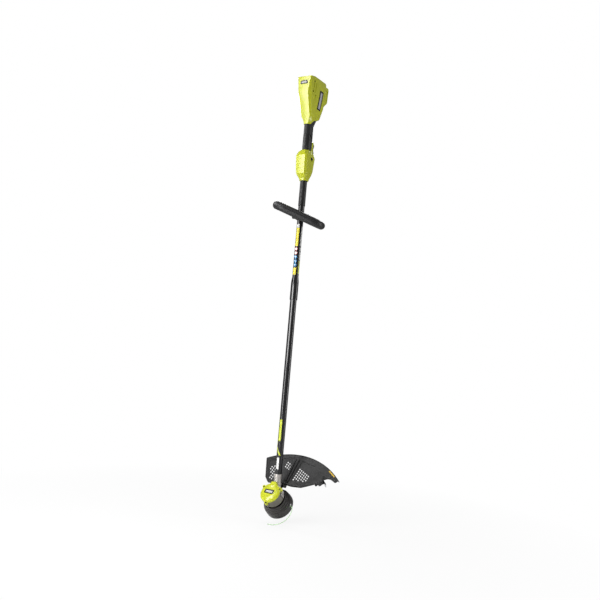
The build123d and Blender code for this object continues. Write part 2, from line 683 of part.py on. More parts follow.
def handle_clamp_screws():
    """The two screws of the clamp, heads at the rear."""
    place = clamp_plane()
    screws = []
    for x in (-CLAMP_SCREW_X, CLAMP_SCREW_X):
        screw = rod_y(CLAMP_SCREW_R, -16, 7.5, x, 0) + rod_y(4.4, 7.5, 11.0, x, 0)
        socket = extrude(Plane(origin=(x, 11.0, 0), z_dir=(0, -1, 0)) * RegularPolygon(2.2, 6), 2.0)
        screws.append(place * (screw - socket))
    return Part() + screws


def handle_liner():
    """The flanged liner between the tube and the clamp."""
    half = CLAMP_HEIGHT / 2
    liner = Cylinder(LINER_R, CLAMP_HEIGHT + 4)
    for side in (-1, 1):
        liner += Pos(0, 0, side * (half + 0.15 + 0.9)) * Cylinder(LINER_R + LINER_FLANGE, 1.8)
    return Pos(0, 0, HANDLE_Z) * (liner - Cylinder(UPPER_TUBE_R + RUN, 60))


# ---------------------------------------------------------------- head
def ear(angle, radius, t0, t1):
    """A round lug on the ear circle."""
    a = math.radians(angle)
    return rod(radius, t0, t1, HEAD, (EAR_CIRCLE_R * math.cos(a), EAR_CIRCLE_R * math.sin(a)))


CAN_WALL = 2.5
CRADLE_R = 44.6
CRADLE_LOW_T = 26.0
CRADLE_TOP_T = EAR_BOTTOM_T - 0.1
SOCKET_END = 6.0
LUG_THICK = 5.0
LUG_HALF_U = 24.0
LUG_REAR_G = 84.0
GUARD_SCREW_U = 17.0
GUARD_SCREW_G = 77.0
GUARD_SCREW_R = 1.9
SPOOL_CLEAR_R = 48.0


def motor_mount():
    """The cast socket that takes the tube, with the cradle that holds the motor housing."""
    end = LOWER_TUBE_END_Z
    cradle = ring(CRADLE_R, CAN_R + SEAT, CRADLE_LOW_T, CRADLE_TOP_T, HEAD)
    cradle = cradle & (HEAD * block((-60, 60), (4, 60), (0, 60)))
    body = cradle + (HEAD * block((-12, 12), (CAN_R - 1, 62), (CRADLE_LOW_T + 2, CRADLE_TOP_T)))
    body += rod(SOCKET_R, end - SOCKET_END, SOCKET_TOP_Z)
    for angle in EAR_ANGLES_DEG[:2]:
        body += ear(angle, EAR_R - 1.2, 36, CRADLE_TOP_T)
    body += guard_lug()
    body -= rod(CAN_R + SEAT, CAN_BOTTOM_T - 1, CAN_TOP_T + 3, HEAD)
    body -= rod(LOWER_TUBE_R + SEAT, end, SOCKET_TOP_Z + 1)
    for angle in EAR_ANGLES_DEG[:2]:
        body -= ear(angle, CAP_SCREW_R + SEAT, 40, 60)
    for u in (-GUARD_SCREW_U, GUARD_SCREW_U):
        body -= rod(GUARD_SCREW_R + SEAT, 0, GUARD_TOP_T, HEAD, (u, GUARD_SCREW_G))
    return body


def guard_lug():
    """The shelf below the guard that it is screwed to, and the neck that carries the shelf."""
    top = GUARD_TOP_T - GUARD_PLATE - SEAT
    shelf = HEAD * block((-LUG_HALF_U, LUG_HALF_U), (56, LUG_REAR_G), (top - LUG_THICK, top))
    shelf += HEAD * block((-9, 9), (50, 64), (top - LUG_THICK, CRADLE_LOW_T + 8))
    return shelf - rod(SPOOL_CLEAR_R, 0, CAN_BOTTOM_T - 1, HEAD)


CAP_SCREW_R = 1.9


def motor_housing():
    """The grey can round the motor."""
    low, high = CAN_BOTTOM_T, CAN_TOP_T
    points = (
        (BEARING_R + 3, low), (CAN_R - 2.0, low), (CAN_R - 0.6, low + 1.4), (CAN_R, low + 10),
        (CAN_R, high),
        (CAN_R - CAN_WALL, high), (CAN_R - CAN_WALL, low + 3), (BEARING_R + 3, low + 3),
        (BEARING_R + 3, low + 9),
        (BEARING_R + SEAT, low + 9), (BEARING_R + SEAT, low + 1.2), (SPINDLE_R + 2, low + 1.2),
        (SPINDLE_R + 2, low),
    )
    can = turned(points, HEAD)
    front = EAR_ANGLES_DEG[2]
    can += ear(front, EAR_R - 1.2, 36, CRADLE_TOP_T) - rod(CAN_R - 1, low, high, HEAD)
    return can - ear(front, CAP_SCREW_R + SEAT, 38, 60)


def motor_cap():
    """The lime lid with its three ears and the lobe in front of the socket."""
    points = (
        (0, CAN_TOP_T + 10.4), (22, CAN_TOP_T + 10.4), (33, CAN_TOP_T + 7.2),
        (CAN_R - 2.2, CAN_TOP_T + 2.4),
        (CAN_R - 2.2, CAN_TOP_T + 0.05), (CAN_R + 0.4, CAN_TOP_T + 0.05), (CAN_R + 0.4, CAN_TOP_T + 3.2),
        (CAN_R - 1.0, CAN_TOP_T + 5.6), (34.5, CAN_TOP_T + 9.8), (25, CAP_TOP_T), (0, CAP_TOP_T),
    )
    cap = turned(points, HEAD)
    hollow = rod(CAN_R - CAN_WALL - 0.3, CAN_TOP_T - 20, CAN_TOP_T + 2, HEAD)
    ears = Part()
    for angle in EAR_ANGLES_DEG:
        a = math.radians(angle)
        lug = ear(angle, EAR_R, EAR_BOTTOM_T, EAR_TOP_T)
        bridge = HEAD * Rot(0, 0, angle) * block((30, EAR_CIRCLE_R), (-EAR_R, EAR_R),
            (CAN_TOP_T + 0.05, EAR_TOP_T))
        ears += lug + bridge
    crest = Polygon((-17, 28), (17, 28), (15, 42), (9, 49), (-9, 49), (-15, 42), align=None)
    lobe = HEAD * Pos(0, 0, CAN_TOP_T + 0.05) * extrude(crest, 9.0, taper=16)
    cap += (ears + lobe) - hollow - rod(CAN_R + SEAT, 0, CAN_TOP_T + 0.05, HEAD)
    cap -= rod(33, CAN_TOP_T - 1, CAN_TOP_T + 7.2, HEAD)
    for angle in EAR_ANGLES_DEG:
        cap -= ear(angle, CAP_SCREW_R + 0.3, 40, 70)
        cap -= ear(angle, 3.9, EAR_TOP_T - 4, 75)
    cap -= HEAD * Pos(0, 0, CAP_TOP_T - 0.8) * prism(offset(motor_badge_face(), SEAT), 2)
    return cap


def cap_screws():
    """The three screws of the cap."""
    screws = []
    for angle in EAR_ANGLES_DEG:
        screw = ear(angle, CAP_SCREW_R, 41, EAR_TOP_T - 4) + ear(angle, 3.6, EAR_TOP_T - 4, EAR_TOP_T - 1.4)
        screws.append(screw - ear(angle, 1.5, EAR_TOP_T - 2.8, EAR_TOP_T))
    return Part() + screws


def motor_badge_face():
    """The plate's outline on the cap."""
    face = Polygon((-20.5, 9.5), (21.0, 9.5), (19.0, -8.0), (-20.5, -7.0), align=None)
    return fillet(face.vertices(), 2.5)


def motor_badge():
    """The plain plate on the cap."""
    return HEAD * Pos(0, 0, CAP_TOP_T - 0.8) * prism(motor_badge_face(), 1.3)


ENDPLATE_T = 52.0
ROTOR_R = 20.0
STATOR_LOW_T = 30.0
STATOR_HIGH_T = 46.0


def motor_endplate():
    """The plate that closes the can and holds the upper bearing."""
    plate = ring(CAN_R - CAN_WALL - SEAT, BEARING_R + SEAT, ENDPLATE_T, ENDPLATE_T + 3, HEAD)
    plate += ring(BEARING_R + 3, BEARING_R + SEAT, ENDPLATE_T - 5, ENDPLATE_T + 3, HEAD)
    return plate


def motor_bearings():
    """The two ball bearings, each as its outer and inner ring."""
    rings = []
    for t in (CAN_BOTTOM_T + 1.3, ENDPLATE_T - 5):
        rings.append(ring(BEARING_R, SPINDLE_R + RUN, t, t + 7, HEAD))
    return Part() + rings


def motor_stator():
    """The ring of laminations."""
    stator = ring(CAN_R - CAN_WALL - SEAT, ROTOR_R + 9, STATOR_LOW_T, STATOR_HIGH_T, HEAD)
    for i in range(9):
        tooth = block((ROTOR_R + 0.4, ROTOR_R + 11), (-3.0, 3.0), (STATOR_LOW_T, STATOR_HIGH_T))
        stator += HEAD * Rot(0, 0, 40 * i) * tooth
    return stator


def stator_coils():
    """The windings on the teeth."""
    coils = []
    for i in range(9):
        coil_block = block((ROTOR_R + 1.5, ROTOR_R + 8.2), (-5.6, 5.6),
            (STATOR_LOW_T - 2.5, STATOR_HIGH_T + 2.5))
        hole = block((ROTOR_R, ROTOR_R + 12), (-3.05, 3.05), (STATOR_LOW_T - 0.05, STATOR_HIGH_T + 0.05))
        coils.append(HEAD * Rot(0, 0, 40 * i) * (coil_block - hole))
    return Part() + coils


def motor_rotor():
    """The rotor on the spindle."""
    return ring(ROTOR_R, SPINDLE_R + SEAT, STATOR_LOW_T - 1, STATOR_HIGH_T + 0.2, HEAD)


def motor_spindle():
    """The spindle, from the upper bearing down into the line head."""
    spindle = rod(SPINDLE_R, -34, ENDPLATE_T + 1.5, HEAD)
    return spindle + rod(SPINDLE_R + 3.5, 6, 8.0, HEAD)


# ---------------------------------------------------------------- line head
SPOOL_WALL = 2.4
EYELET_ANGLE_DEG = 2.0


def spool_housing():
    """The stepped upper shell of the line head."""
    points = (
        (SPINDLE_R + SEAT, 5.9), (12, 5.9), (14, 3.0), (38, 3.0), (39.5, 8.0), (41.6, 15.0), (43.8, 15.6),
        (45.4, 14.2),
        (45.8, 7.5), (49.0, 4.2), (50.0, -1.5), (53.4, -4.4), (54.6, -9.5), (56.6, -11.5), (57.2, -22),
        (SPOOL_R, -27),
        (SPOOL_R, -36), (SPOOL_R - SPOOL_WALL, -36), (SPOOL_R - SPOOL_WALL, -27), (54.6, -22),
        (54.0, -12.5),
        (51.6, -8.5), (50.4, -2.5), (47.4, 0.6), (46.0, 0.0), (9.0, 0.0), (9.0, -4.0),
        (SPINDLE_R + SEAT, -4.0),
    )
    shell = turned(points, HEAD)
    for angle in (EYELET_ANGLE_DEG, EYELET_ANGLE_DEG + 180):
        shell -= HEAD * Rot(0, 0, angle) * rod_x(EYELET_R + SEAT, 50, 62, 0, EYELET_T)
    return shell


def spool_cover():
    """The lower shell with the opening for the bump knob."""
    points = (
        (SPOOL_R, -36.05), (SPOOL_R, -38.5), (55.0, -43.5), (47.0, -46.5), (45.5, -50.0),
        (KNOB_R + 1.0, -50.0),
        (KNOB_R + 1.0, -47.6), (43.5, -47.6), (44.5, -44.5), (53.0, -40.4), (53.6, -33.0), (55.5, -33.0),
        (55.5, -36.05),
    )
    cover = turned(points, HEAD)
    for i in range(18):
        notch = block((56.4, 62), (-2.2, 2.2), (-45, -37))
        cover -= HEAD * Rot(0, 0, 20 * i) * notch
    return cover


def line_eyelets():
    """The two metal eyelets that the line leaves through."""
    eyelets = []
    for angle in (EYELET_ANGLE_DEG, EYELET_ANGLE_DEG + 180):
        body = rod_x(EYELET_R, 53.6, 58.6, 0, EYELET_T) + rod_x(EYELET_R + 1.4, 57.7, 59.0, 0, EYELET_T)
        body -= Pos(LINE_ROUTE[0][0], 0, EYELET_T) * Rot(0, 0, EYELET_TURN_DEG) * rod_x(LINE_R + 0.5, -6,
            12, 0, 0)
        eyelets.append(HEAD * Rot(0, 0, angle) * body)
    return Part() + eyelets


def spool_reel():
    """The reel that the line is wound on."""
    points = (
        (12.0, -BUMP_TRAVEL - 2), (16.5, -BUMP_TRAVEL - 2), (16.5, -12.5), (44.0, -12.5), (44.0, -14.5),
        (17.5, -14.5), (17.5, -24.5), (43.0, -24.5),
        (43.0, -26.0), (17.5, -26.0), (17.5, -37.0), (44.0, -37.0), (44.0, -39.0), (12.0, -39.0),
    )
    return turned(points, HEAD)


def wound_line():
    """The line on the reel, one winding in each chamber."""
    upper = ring(38, 17.5 + SEAT, -24.45, -14.55, HEAD)
    lower = ring(38, 17.5 + SEAT, -36.95, -26.05, HEAD)
    return Part() + [upper, lower]


def bump_knob():
    """The knob that is tapped on the ground to feed line."""
    points = (
        (0, -66.0), (14, -66.0), (24, -62.8), (29.5, -58.5), (KNOB_R, -53.0), (KNOB_R, -47.3),
        (KNOB_R + 5, -47.3),
        (KNOB_R + 5, -43.5), (KNOB_R, -42.5), (KNOB_R, -39.05), (12.0, -39.05), (12.0, -46.0), (0, -46.0),
    )
    knob = turned(points, HEAD)
    for i in range(12):
        knob -= HEAD * Rot(0, 0, 30 * i) * Pos(KNOB_R + 1.6, 0, -60) * Cylinder(3.4, 14)
    return knob


def bump_spring():
    """The spring that holds the knob down."""
    return coil(11.0, 1.6, 6, -45.95, -0.05, HEAD)


def spindle_nut():
    """The nut under the spool housing's hub."""
    nut = HEAD * Pos(0, 0, -10.1) * prism(RegularPolygon(7.2, 6), 6.0)
    return nut - rod(SPINDLE_R + SEAT, -20, 0, HEAD)


# ---------------------------------------------------------------- cutting lines
# The line's route in head coordinates (u, g, t), from inside its eyelet to its free end.
LINE_ROUTE = (
    (54.5, 2.0, -19.0), (66.0, -3.3, -19.0), (73.0, -14.0, -18.6), (75.0, -28.5, -18.2),
    (73.5, -44.0, -18.0),
    (68.0, -59.0, -18.0), (57.5, -72.5, -18.4), (43.5, -83.0, -19.0), (26.5, -90.0, -19.8),
    (8.5, -93.0, -20.4),
    (-8.0, -92.5, -21.0),
)
EYELET_TURN_DEG = -25.0


def bend_radii(points):
    """The bend at each inner point of a route: 0.45 of the shorter run over the tangent of half the turn."""
    radii = []
    for before, here, after in zip(points, points[1:], points[2:]):
        arriving = Vector(*here) - Vector(*before)
        leaving = Vector(*after) - Vector(*here)
        turn = math.radians(arriving.get_angle(leaving))
        radii.append(0.45 * min(arriving.length, leaving.length) / math.tan(turn / 2))
    return radii


def cutting_line(side):
    """One nylon line, from its eyelet to its free end."""
    points = [(side * u, side * g, t) for u, g, t in LINE_ROUTE]
    radii = bend_radii(points)
    route = FilletPolyline(*points, radius=radii)
    section = Plane(origin=route @ 0, z_dir=route % 0) * Circle(LINE_R)
    line = sweep(section, path=route)
    print("line bend radii:", [round(radius, 1) for radius in radii])
    print("line volume / (section x length):",
        round(line.volume / (math.pi * LINE_R ** 2 * route.length), 4))
    return HEAD * line


# ---------------------------------------------------------------- guard
GUARD_ARC_CENTRE = (29.0, -104.6)
GUARD_ARC_R = 309.5
GUARD_WALL = 3.0
GUARD_LIP = 10.0
GUARD_TIP_R = 7.0
GUARD_TIP_X = 210.0
GUARD_EDGE = (
    (-135.0, 215.0), (-83.0, 84.0), (-65.0, 66.0), (-42.0, 67.0), (-4.0, 71.0), (44.0, 66.0), (87.0, 69.0),
    (103.0, 76.0), (141.0, 94.0), (162.0, 93.0), (173.0, 106.0), (171.0, 119.0), (186.0, 126.0),
    (198.0, 126.0),
    (213.0, 119.5), (222.0, 114.0), (262.0, 156.0), (262.0, 215.0),
)
# The rhombic holes: lattice steps, half a hole's side along them, then each field's origin and first and last step.
HOLE_STEP_A = (-2.0, -9.6)
HOLE_STEP_B = (9.8, -4.7)
HOLE_SHARE = 0.27
HOLE_FIELDS = (
    ((-72.5, 143.5), ((1, 2), (0, 3), (0, 5), (0, 5))),
    ((-10.4, 164.4), ((0, 2), (0, 2), (0, 2))),
    ((54.6, 142.8), ((0, 5), (0, 4), (0, 4), (0, 3), (0, 3), (0, 2))),
)


# The two raised bands that run from the shelf to the rear edge.
GUARD_BANDS = (
    ((9.0, 80.0), (18.6, 79.0), (23.4, 184.0), (11.0, 184.0)),
    ((21.0, 79.0), (28.0, 78.0), (39.0, 184.0), (25.6, 184.0)),
)


def guard_outline(inset=0.0):
    """The guard's plan: an arc behind, a notched edge in front."""
    disc = Pos(*GUARD_ARC_CENTRE, 0) * Circle(GUARD_ARC_R)
    face = disc & Polygon(*GUARD_EDGE, align=None)
    tip = face.vertices().sort_by(Axis.X)[-2:]
    face = fillet(tip, GUARD_TIP_R)
    face = fillet([v for v in face.vertices() if v.X < GUARD_TIP_X], 3.0)
    return offset(face, -inset) if inset else face


def guard_holes():
    """All the rhombic holes."""
    holes = []
    (au, ag), (bu, bg) = HOLE_STEP_A, HOLE_STEP_B
    for (u0, g0), rows in HOLE_FIELDS:
        for i, (first, last) in enumerate(rows):
            for j in range(first, last + 1):
                u = u0 + i * bu + j * au
                g = g0 + i * bg + j * ag
                corners = [
                    (u + HOLE_SHARE * (p * au + q * bu), g + HOLE_SHARE * (p * ag + q * bg))
                    for p, q in ((-1, -1), (-1, 1), (1, 1), (1, -1))
                ]
                holes.append(plan(corners, GUARD_TOP_T - GUARD_PLATE - 2, GUARD_TOP_T + 2))
    return holes


def bar(start, end, width, t0, t1):
    """A straight bar on the guard, from one (u, g) point to another."""
    length = math.hypot(end[0] - start[0], end[1] - start[1])
    turn = math.degrees(math.atan2(end[1] - start[1], end[0] - start[0]))
    middle = ((start[0] + end[0]) / 2, (start[1] + end[1]) / 2)
    face = SlotOverall(length, width)
    return HEAD * Pos(*middle, t0) * Rot(0, 0, turn) * prism(face, t1 - t0)


def guard():
    """The debris guard: plate, lip, skirt, channel, panels, bars and holes."""
    top = GUARD_TOP_T
    under = top - GUARD_PLATE
    outer = guard_outline()
    inner = guard_outline(GUARD_WALL)
    body = HEAD * Pos(0, 0, under) * prism(outer, GUARD_PLATE)
    body += HEAD * Pos(0, 0, top - GUARD_LIP) * prism(outer - inner, GUARD_LIP - 1)
    skirt = HEAD * Pos(0, 0, top - GUARD_SKIRT) * prism(outer - inner, GUARD_SKIRT - 1)
    skirt_zone = rod(GUARD_ARC_R + 5, -60, 60, HEAD, GUARD_ARC_CENTRE) - rod(
        GUARD_ARC_R - GUARD_WALL - 0.2, -60, 60, HEAD, GUARD_ARC_CENTRE
    )
    body += skirt & skirt_zone
    body -= HEAD * block((-LUG_HALF_U - GAP, LUG_HALF_U + GAP), (40, LUG_REAR_G + GAP),
        (top - GUARD_SKIRT, under))
    for band in GUARD_BANDS:
        raised = extrude(Polygon(*band, align=None), 3.5, taper=20)
        body += HEAD * Pos(0, 0, top - 0.01) * raised
    body -= plan(((34, 84), (84, 78), (136, 104), (148, 118), (109, 146), (110, 162), (52, 180)),
        top - PANEL_DEPTH, top + 2)
    body -= plan(((-74, 92), (-60, 78), (-8, 82), (-5, 118), (6, 142), (7.5, 178), (-24, 182), (-98, 160)),
        top - PANEL_DEPTH, top + 2)
    body += bar((132, 151), (171, 128), 6.5, top - 1, top + 2.6)
    for start, end in ((51, 184.5), (113, 168)), ((-95, 168), (-73, 174)), ((-21, 190), (10, 188)):
        body += bar(start, end, 5.0, top - 2, top + 1.6)
    for hole in guard_holes():
        body -= hole
    for u in (-GUARD_SCREW_U, GUARD_SCREW_U):
        body -= rod(GUARD_SCREW_R + 0.2, under - 1, top + 9, HEAD, (u, GUARD_SCREW_G))
        body -= rod(4.4, top, top + 9, HEAD, (u, GUARD_SCREW_G))
    return body


def guard_screws():
    """The two screws that hold the guard to its shelf."""
    screws = []
    for u in (-GUARD_SCREW_U, GUARD_SCREW_U):
        at = (u, GUARD_SCREW_G)
        shank = rod(GUARD_SCREW_R, GUARD_TOP_T - GUARD_PLATE - LUG_THICK, GUARD_TOP_T, HEAD, at)
        head = rod(4.0, GUARD_TOP_T, GUARD_TOP_T + 2.4, HEAD, at) - rod(1.6, GUARD_TOP_T + 1,
            GUARD_TOP_T + 3, HEAD, at)
        screws.append(shank + head)
    return Part() + screws


CUTTER_SCREWS = ((153.0, 106.0), (163.0, 113.0))
CUTTER_SCREW_R = 1.3
CUTTER_LOW_T = 0.6


def cutter_bracket():
    """The toothed block under the guard that carries the line cutter."""
    under = GUARD_TOP_T - GUARD_PLATE - SEAT
    lip = GUARD_TOP_T - GUARD_LIP - SEAT
    body = plan(((148, 101), (158, 101), (165, 110), (164, 122), (148, 117)), lip - 1, under)
    teeth = (
        (138, 100), (142, 89), (149, 91), (150, 96), (155, 98), (158, 92), (165, 95), (168, 101),
        (177, 106), (172, 118),
        (150, 118),
    )
    body += plan(teeth, CUTTER_LOW_T, lip)
    for at in CUTTER_SCREWS:
        body -= rod(CUTTER_SCREW_R + SEAT, CUTTER_LOW_T - 1, under - 2, HEAD, at)
    return body


def line_cutter():
    """The thin steel blade that trims the line."""
    blade = plan(
        ((146.5, 105.5), (155, 101), (168, 110), (178, 104), (186, 93), (189, 95), (182, 109), (167, 121)),
        CUTTER_LOW_T - 0.85, CUTTER_LOW_T - SEAT,
    )
    for at in CUTTER_SCREWS:
        blade -= rod(CUTTER_SCREW_R + 0.1, CUTTER_LOW_T - 3, CUTTER_LOW_T + 1, HEAD, at)
    return blade


def cutter_screws():
    """The two screws of the blade."""
    face = CUTTER_LOW_T - 0.85 - SEAT
    screws = [
        rod(CUTTER_SCREW_R, face, GUARD_TOP_T - 6, HEAD, at) + rod(2.6, face - 1.6, face, HEAD,
        at) for at in CUTTER_SCREWS
    ]
    return Part() + screws


# ---------------------------------------------------------------- inside the rear housing
def battery_ejector():
    """The plunger that lifts the pack out of the bay."""
    flange = BAY_FLOOR_Z - 3 - GAP
    return rod(EJECTOR_R, flange - 3, BAY_FLOOR_Z + EJECTOR_LIFT, at=(0, EJECTOR_Y)) + rod(
        EJECTOR_R + 3, flange - 3, flange, at=(0, EJECTOR_Y)
    )


def ejector_spring():
    """The spring under the plunger."""
    place = Plane(origin=(0, EJECTOR_Y, 0))
    return coil(EJECTOR_R + 2.5, 1.3, 5, EJECTOR_CAGE_Z + SEAT, BAY_FLOOR_Z - 6 - GAP - SEAT, place)


def lever_spring():
    """The spring behind the palm lever."""
    place = Plane(origin=(0, 0, LEVER_SPRING_Z), x_dir=(1, 0, 0), z_dir=(0, 1, 0))
    start = GRIP_Y - (GRIP_HALF_Y + 0.7 - 3.1) + 0.3
    return coil(2.5, 0.8, 4, start, LEVER_SPRING_SEAT_Y - SEAT, place)


BOARD_Y = -22.0
BOARD_HALF_X = 16.0


def controller_board():
    """The motor controller's board with its largest components."""
    board = block((-BOARD_HALF_X, BOARD_HALF_X), (BOARD_Y + SEAT, BOARD_Y + 1.6), (755, 797))
    board += block((-12, -3), (BOARD_Y + 1, BOARD_Y + 9), (782, 794))
    board += rod_y(4.0, BOARD_Y + 1, BOARD_Y + 12, 8, 788)
    for x in (-10.0, -2.0, 6.0):
        board += block((x, x + 6), (BOARD_Y + 1, BOARD_Y + 3.2), (759, 767))
    return board


def controller_heatsink():
    """The finned block on the board's transistors."""
    base = BOARD_Y + 3.2 + SEAT
    sink = block((-13, 13), (base, base + 3), (757, 775))
    for i in range(7):
        x = -12.5 + 4 * i
        sink += block((x, x + 1.2), (base + 2, base + 10), (757, 775))
    return sink


def housing_screws():
    """The screws that hold the two halves together."""
    screws = []
    for y, z in screw_places():
        level = SCREW_LEVEL_X
        screw = rod_x(SCREW_R, level, 10.5, y, z) + rod_x(SCREW_HEAD_R - 0.25, level - 2.4, level, y, z)
        screws.append(screw - rod_x(1.4, level - 3, level - 1, y, z))
    return Part() + screws


def halved(shape, side):
    """The half of a shape on one side of the parting plane."""
    x = sorted((0, side * 80))
    return shape & block(x, (-120, 120), (CLAMP_END_Z - 20, HOUSING_TOP_Z + 20))


def finished_housing():
    """The rear housing with its seats, pockets and screw holes."""
    shell = rear_housing()
    for side in (-1, 1):
        for cut in side_details(side):
            shell -= cut
    shell -= badge_pockets()
    shell -= front_badge(SEAT)
    shell -= speed_seat()
    for y, z in screw_places():
        shell -= rod_x(SCREW_R + SEAT, SCREW_LEVEL_X - 1, 11.0, y, z)
        shell -= rod_x(SCREW_HEAD_R, -60, SCREW_LEVEL_X, y, z)
    return shell


def trigger_pin():
    """The pin the trigger turns on."""
    half = TRIGGER_PIN_HALF_X - 1.5 - SEAT
    return rod_x(TRIGGER_PIN_R, -half, half, TRIGGER_PIN_Y, TRIGGER_PIN_Z)


# ---------------------------------------------------------------- files
housing = finished_housing()
save("rear_housing_left", halved(housing, 1))
save("rear_housing_right", halved(housing, -1))
save("housing_screws", housing_screws())
save("battery_receiver", battery_receiver())
save("terminal_block", terminal_block() - battery_terminals(SEAT))
save("battery_terminals", battery_terminals())
save("battery_ejector", battery_ejector())
save("ejector_spring", ejector_spring())
save("controller_board", controller_board())
save("controller_heatsink", controller_heatsink())
save("side_badge_left", side_badge(1))
save("side_badge_right", side_badge(-1))
save("front_badge", front_badge())
save("speed_selector", speed_selector())
skin = grip_skin()
save("grip_left", halved(skin, 1))
save("grip_right", halved(skin, -1))
save("lockout_lever", lockout_lever())
save("lever_spring", lever_spring())
save("trigger", trigger())
save("trigger_pin", trigger_pin())
save("trigger_switch", trigger_switch())
save("switch_plunger", switch_plunger())
save("upper_tube", upper_tube())
save("tube_sleeve", tube_sleeve())
save("lower_tube", lower_tube())
save("snap_button", snap_button())
save("button_spring", button_spring())
save("front_handle", front_handle())
save("handle_grip", handle_grip())
save("handle_clamp_cap", handle_clamp_cap())
save("handle_clamp_screws", handle_clamp_screws())
save("handle_liner", handle_liner())
save("motor_mount", motor_mount())
save("motor_housing", motor_housing())
save("motor_cap", motor_cap())
save("cap_screws", cap_screws())
save("motor_badge", motor_badge())
save("motor_endplate", motor_endplate())
save("motor_bearings", motor_bearings())
save("motor_stator", motor_stator())
save("stator_coils", stator_coils())
save("motor_rotor", motor_rotor())
save("motor_spindle", motor_spindle())
save("spindle_nut", spindle_nut())
save("spool_housing", spool_housing())
save("spool_cover", spool_cover())
save("line_eyelets", line_eyelets())
save("spool_reel", spool_reel())
save("wound_line", wound_line())
save("bump_knob", bump_knob())
save("bump_spring", bump_spring())
save("cutting_line_a", cutting_line(1))
save("cutting_line_b", cutting_line(-1))
save("guard", guard())
save("guard_screws", guard_screws())
save("cutter_bracket", cutter_bracket())
save("line_cutter", line_cutter())
save("cutter_screws", cutter_screws())
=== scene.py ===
# %% [markdown]
# # A battery string trimmer, dressed for display
# The trimmer's hard shapes come from a CAD model, which stays as the fixed frame. This lesson
# adds what a CAD model leaves out: softened edges, screws with a drive, stickers that follow the
# tube, the two nylon cutting lines, and a finish for every surface. All sizes are in metres, +Z
# runs up the tube from the head to the battery, and -Y is the side that faces up in use.

# %% the frame
import json
import math

import bmesh
import bpy
from mathutils import Matrix, Vector
from mathutils.bvhtree import BVHTree


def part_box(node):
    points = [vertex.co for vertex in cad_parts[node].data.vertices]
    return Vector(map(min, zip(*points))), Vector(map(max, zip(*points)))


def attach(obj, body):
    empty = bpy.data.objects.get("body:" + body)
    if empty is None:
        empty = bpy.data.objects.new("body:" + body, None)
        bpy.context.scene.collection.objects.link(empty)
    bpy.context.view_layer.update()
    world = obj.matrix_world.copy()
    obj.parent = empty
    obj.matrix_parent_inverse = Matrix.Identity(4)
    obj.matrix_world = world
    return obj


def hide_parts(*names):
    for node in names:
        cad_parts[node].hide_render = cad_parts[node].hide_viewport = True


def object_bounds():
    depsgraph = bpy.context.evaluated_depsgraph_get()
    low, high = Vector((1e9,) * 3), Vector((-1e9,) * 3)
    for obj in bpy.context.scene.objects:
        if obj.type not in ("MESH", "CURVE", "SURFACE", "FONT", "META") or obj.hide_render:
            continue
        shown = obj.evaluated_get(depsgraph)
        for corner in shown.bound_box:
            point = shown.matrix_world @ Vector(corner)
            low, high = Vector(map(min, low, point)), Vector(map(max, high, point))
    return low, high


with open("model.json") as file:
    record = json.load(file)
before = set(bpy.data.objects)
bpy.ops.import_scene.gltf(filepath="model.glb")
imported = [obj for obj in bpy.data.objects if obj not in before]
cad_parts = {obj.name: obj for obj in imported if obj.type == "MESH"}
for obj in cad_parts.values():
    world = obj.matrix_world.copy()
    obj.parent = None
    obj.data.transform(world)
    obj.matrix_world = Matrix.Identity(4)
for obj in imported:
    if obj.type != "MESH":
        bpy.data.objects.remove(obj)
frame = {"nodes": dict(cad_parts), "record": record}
cad_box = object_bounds()
body_of = {n: b for b, names in frame["record"]["behaviour"]["bodies"].items() for n in names}

# %% the head's own directions
HEAD_TILT = math.radians(54.0)
HEAD_ORIGIN = Vector((0, 0, -0.797))
HEAD_NORMAL = Vector((0, -math.sin(HEAD_TILT), math.cos(HEAD_TILT)))
HEAD_REAR = Vector((0, math.cos(HEAD_TILT), math.sin(HEAD_TILT)))


def on_head(u, g, t):
    """A point from millimetres across, towards the rear of, and out of the motor head."""
    return HEAD_ORIGIN + Vector((u / 1000, 0, 0)) + HEAD_REAR * (g / 1000) + HEAD_NORMAL * (t / 1000)


def head_place(point):
    """The same three lengths in millimetres for a point."""
    away = point - HEAD_ORIGIN
    return away.x * 1000, away.dot(HEAD_REAR) * 1000, away.dot(HEAD_NORMAL) * 1000


print("the head leans", round(math.degrees(HEAD_TILT)), "degrees forward")

# %% [markdown]
# ## Camera
# A camera can be aimed by hand or by a constraint. Here its turn is worked out from three
# angles, as for a tripod head: where it stands round the trimmer, how far below the middle it
# is, and how much it leans. A long distance keeps the tall object free of strong perspective.

# %% camera
CAMERA_AZIMUTH = math.radians(31.0)
CAMERA_ELEVATION = math.radians(-4.4)
CAMERA_ROLL = math.radians(4.93)
CAMERA_DISTANCE = 3.0225
CAMERA_SIDEWAYS = 0.0266
CAMERA_LENS = 45.0
CAMERA_FILM = 36.0


def camera_turn(azimuth, elevation, roll):
    """The camera's right, up and back directions as the columns of a matrix."""
    back = Vector((
        math.sin(azimuth) * math.cos(elevation),
        -math.cos(azimuth) * math.cos(elevation),
        math.sin(elevation),
    ))
    right = Vector((math.cos(azimuth), math.sin(azimuth), 0))
    up = back.cross(right)
    leaned_right = right * math.cos(roll) + up * math.sin(roll)
    leaned_up = up * math.cos(roll) - right * math.sin(roll)
    return Matrix((leaned_right, leaned_up, back)).transposed()


